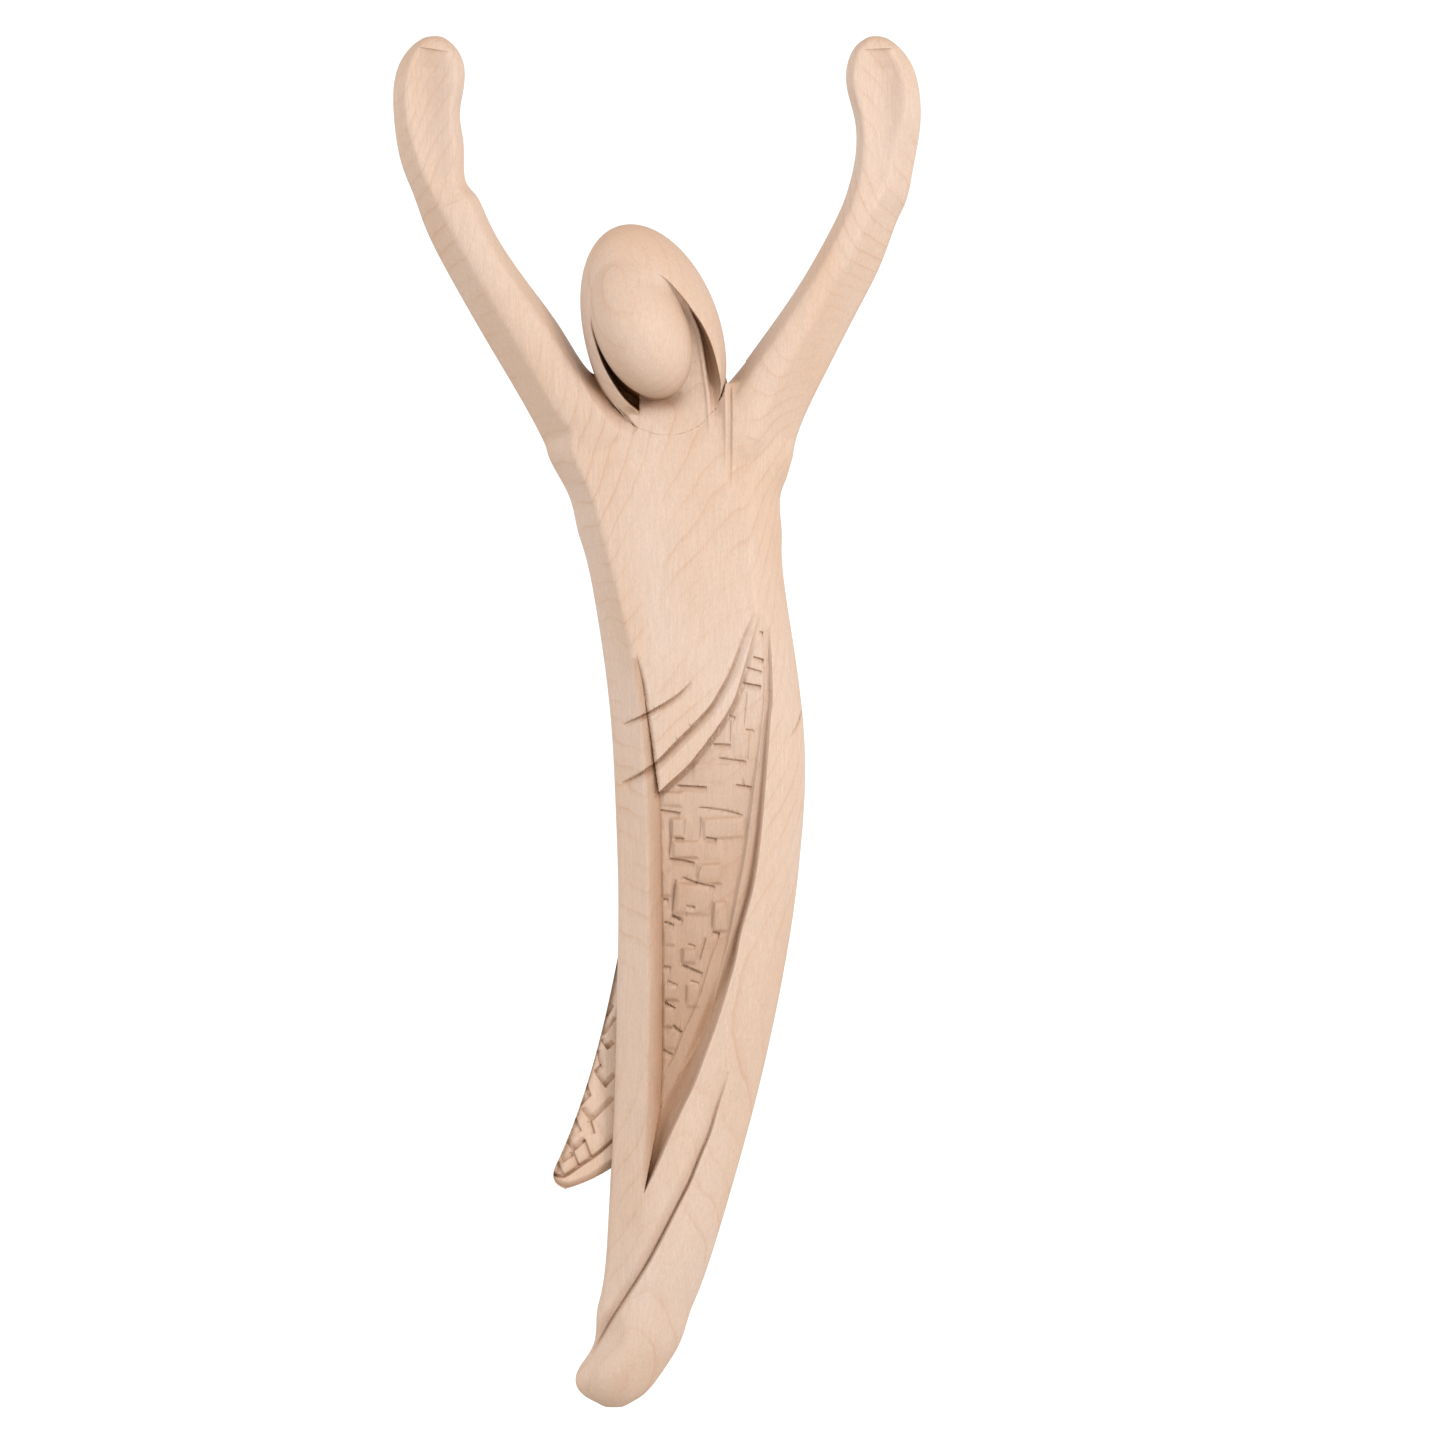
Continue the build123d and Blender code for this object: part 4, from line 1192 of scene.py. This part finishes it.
line_stops = [line_stops[0], line_stops[1]] + [line_stops.new(p) for p in (0.62, 0.86, 0.93)]
LINE_VALUES = ((0.0, 0.1), (1.0, 0.1), (0.62, 0.02), (0.86, 0.35), (0.93, 1.0))
for element, (position, value) in zip(line_stops, LINE_VALUES):
    element.position, element.color = position, (value, value, value, 1)
line_strength = node(maple, "ShaderNodeMapRange", Value=noise(maple, where, (16, 16, 30)), From_Min=0.35,
                     From_Max=0.7, To_Min=0.02, To_Max=0.32).outputs[0]
ring_share = maths(maple, "MULTIPLY", line.outputs[0], line_strength)
patches = node(maple, "ShaderNodeMapRange", Value=noise(maple, where, (24, 24, 55)), From_Min=0.3,
               From_Max=0.7).outputs[0]
# the painted shade of the cuts, stored with each mesh
tone = node(maple, "ShaderNodeAttribute", {"attribute_name": "tone"}).outputs["Fac"]
colour = mix(maple, patches, to_linear("C0A997"), to_linear("BDA088"))
colour = mix(maple, ring_share, colour, to_linear("A8784F"))
# faces that turn up or down are darker: partly the darker end grain, partly painted shade on tops and
# undersides
upright = node(maple, "ShaderNodeSeparateXYZ", i0=node(maple,
                                                       "ShaderNodeTexCoord").outputs["Normal"]).outputs[2]
end_grain_and_shade = maths(maple, "MULTIPLY", maths(maple, "POWER", maths(maple, "ABSOLUTE", upright), 1.5), 0.55)
colour = mix(maple, end_grain_and_shade, colour, to_linear("A07A5A"))
# painted shade: the cuts darken towards 86562A
colour = mix(maple, maths(maple, "POWER", tone, 1.3), colour, to_linear("86562A"))
streaks = node(maple, "ShaderNodeMapRange", Value=noise(maple, where, (0.5, 0.5, 9.0), detail=3.0,
                                                        roughness=0.6), From_Min=0.3, From_Max=0.7,
               To_Min=0.93, To_Max=1.05).outputs[0]
flecks = node(maple, "ShaderNodeMapRange", Value=noise(maple, where, (0.22, 0.22, 1.1), detail=2.0,
                                                       roughness=0.6), From_Min=0.3, From_Max=0.7,
              To_Min=0.92, To_Max=1.06).outputs[0]
grain = maths(maple, "MULTIPLY", streaks, flecks)
colour = mix(maple, 1.0, colour, node(maple, "ShaderNodeCombineXYZ", i0=grain, i1=grain,
                                      i2=grain).outputs[0], "MULTIPLY")
maple.node_tree.links.new(colour, surface.inputs["Base Color"])
surface.inputs["Roughness"].default_value = 0.62
surface.inputs["IOR"].default_value = 1.5
surface.inputs["Specular IOR Level"].default_value = 0.3
bumps = node(maple, "ShaderNodeBump", Strength=0.25, Distance=0.05 * MM, Height=grain)
maple.node_tree.links.new(bumps.outputs[0], surface.inputs["Normal"])

# %% [markdown]
# ## Dowels and hanger
# The dowels are straight-grained beech, a shade darker and redder than the maple. The hanger plate and its
# screws are zinc-plated steel, bright but not polished.

# %% Beech and zinc
beech, surface = new_material("beech")
where = node(beech, "ShaderNodeTexCoord").outputs["Object"]
pores = noise(beech, where, (0.3, 0.3, 0.9), detail=3.0)
colour = mix(beech, pores, to_linear("D2A679"), to_linear("B98657"))
beech.node_tree.links.new(colour, surface.inputs["Base Color"])
surface.inputs["Roughness"].default_value = 0.65
surface.inputs["IOR"].default_value = 1.5

zinc, surface = new_material("zinc_plated_steel")
where = node(zinc, "ShaderNodeTexCoord").outputs["Object"]
brushing = noise(zinc, where, (4.0, 4.0, 0.2), detail=3.0)
surface.inputs["Base Color"].default_value = to_linear("C9CCCE")
surface.inputs["Metallic"].default_value = 1.0
zinc.node_tree.links.new(node(zinc, "ShaderNodeMapRange", Value=brushing, To_Min=0.28,
                              To_Max=0.45).outputs[0], surface.inputs["Roughness"])

finishes = {"maple": maple, "beech_dowel": beech, "zinc_steel": zinc}
dowels = ("left_shoulder_dowels", "right_shoulder_dowels", "neck_dowel", "cloth_end_dowels")
finish_of = {n: "beech_dowel" if n in dowels else "zinc_steel" if n in ("keyhole_plate",
                                                                        "plate_screws") else "maple"
             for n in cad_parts}
for n, finish in finish_of.items():
    for thing in (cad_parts[n], pieces.get(n)):
        if thing:
            thing.data.materials.clear()
            thing.data.materials.append(finishes[finish])

# %% [markdown]
# ## Camera, light and floor

# %% Stage
scene = bpy.context.scene
lens = bpy.data.cameras.new("camera")
camera = bpy.data.objects.new("camera", lens)
scene.collection.objects.link(camera)
FIELD, AWAY = 0.4195, 2.5
lens.sensor_width = 36.0
lens.lens = lens.sensor_width * AWAY / FIELD
lens.clip_end = 20.0
camera.location = (0.0138, -AWAY - 0.022, -0.0404)
camera.rotation_euler = (math.radians(90), 0, 0)
scene.camera = camera

world = bpy.data.worlds.new("studio")
world.use_nodes = True
world.node_tree.nodes["Background"].inputs["Color"].default_value = (1, 1, 1, 1)
world.node_tree.nodes["Background"].inputs["Strength"].default_value = 1.15
scene.world = world


def soft_box(name, place, look_at, size, power, colour="FFFFFF"):
    light = bpy.data.lights.new(name, "AREA")
    light.size, light.energy = size, power
    light.color = to_linear(colour)[:3]
    lamp = bpy.data.objects.new(name, light)
    scene.collection.objects.link(lamp)
    lamp.location = place
    lamp.rotation_euler = (Vector(look_at) - Vector(place)).to_track_quat("-Z", "Y").to_euler()
    return lamp


soft_box("key", (1.1, -1.25, 0.45), (0, 0, -0.03), 0.6, 20, "F7F8FF")
soft_box("fill", (-1.2, -0.8, 0.5), (0, 0, 0), 0.8, 7, "E6ECFF")
scene.view_settings.view_transform = "Standard"

bm = bmesh.new()
bmesh.ops.create_grid(bm, x_segments=1, y_segments=1, size=3.0)
mesh = bpy.data.meshes.new("floor")
bm.to_mesh(mesh)
bm.free()
floor = add_object("floor", mesh)
floor.location.z = -0.9
paint = bpy.data.materials.new("floor_paint")
paint.use_nodes = True
paint.node_tree.nodes["Principled BSDF"].inputs["Base Color"].default_value = to_linear("D8D8D6")
paint.node_tree.nodes["Principled BSDF"].inputs["Roughness"].default_value = 0.9
floor.data.materials.append(paint)
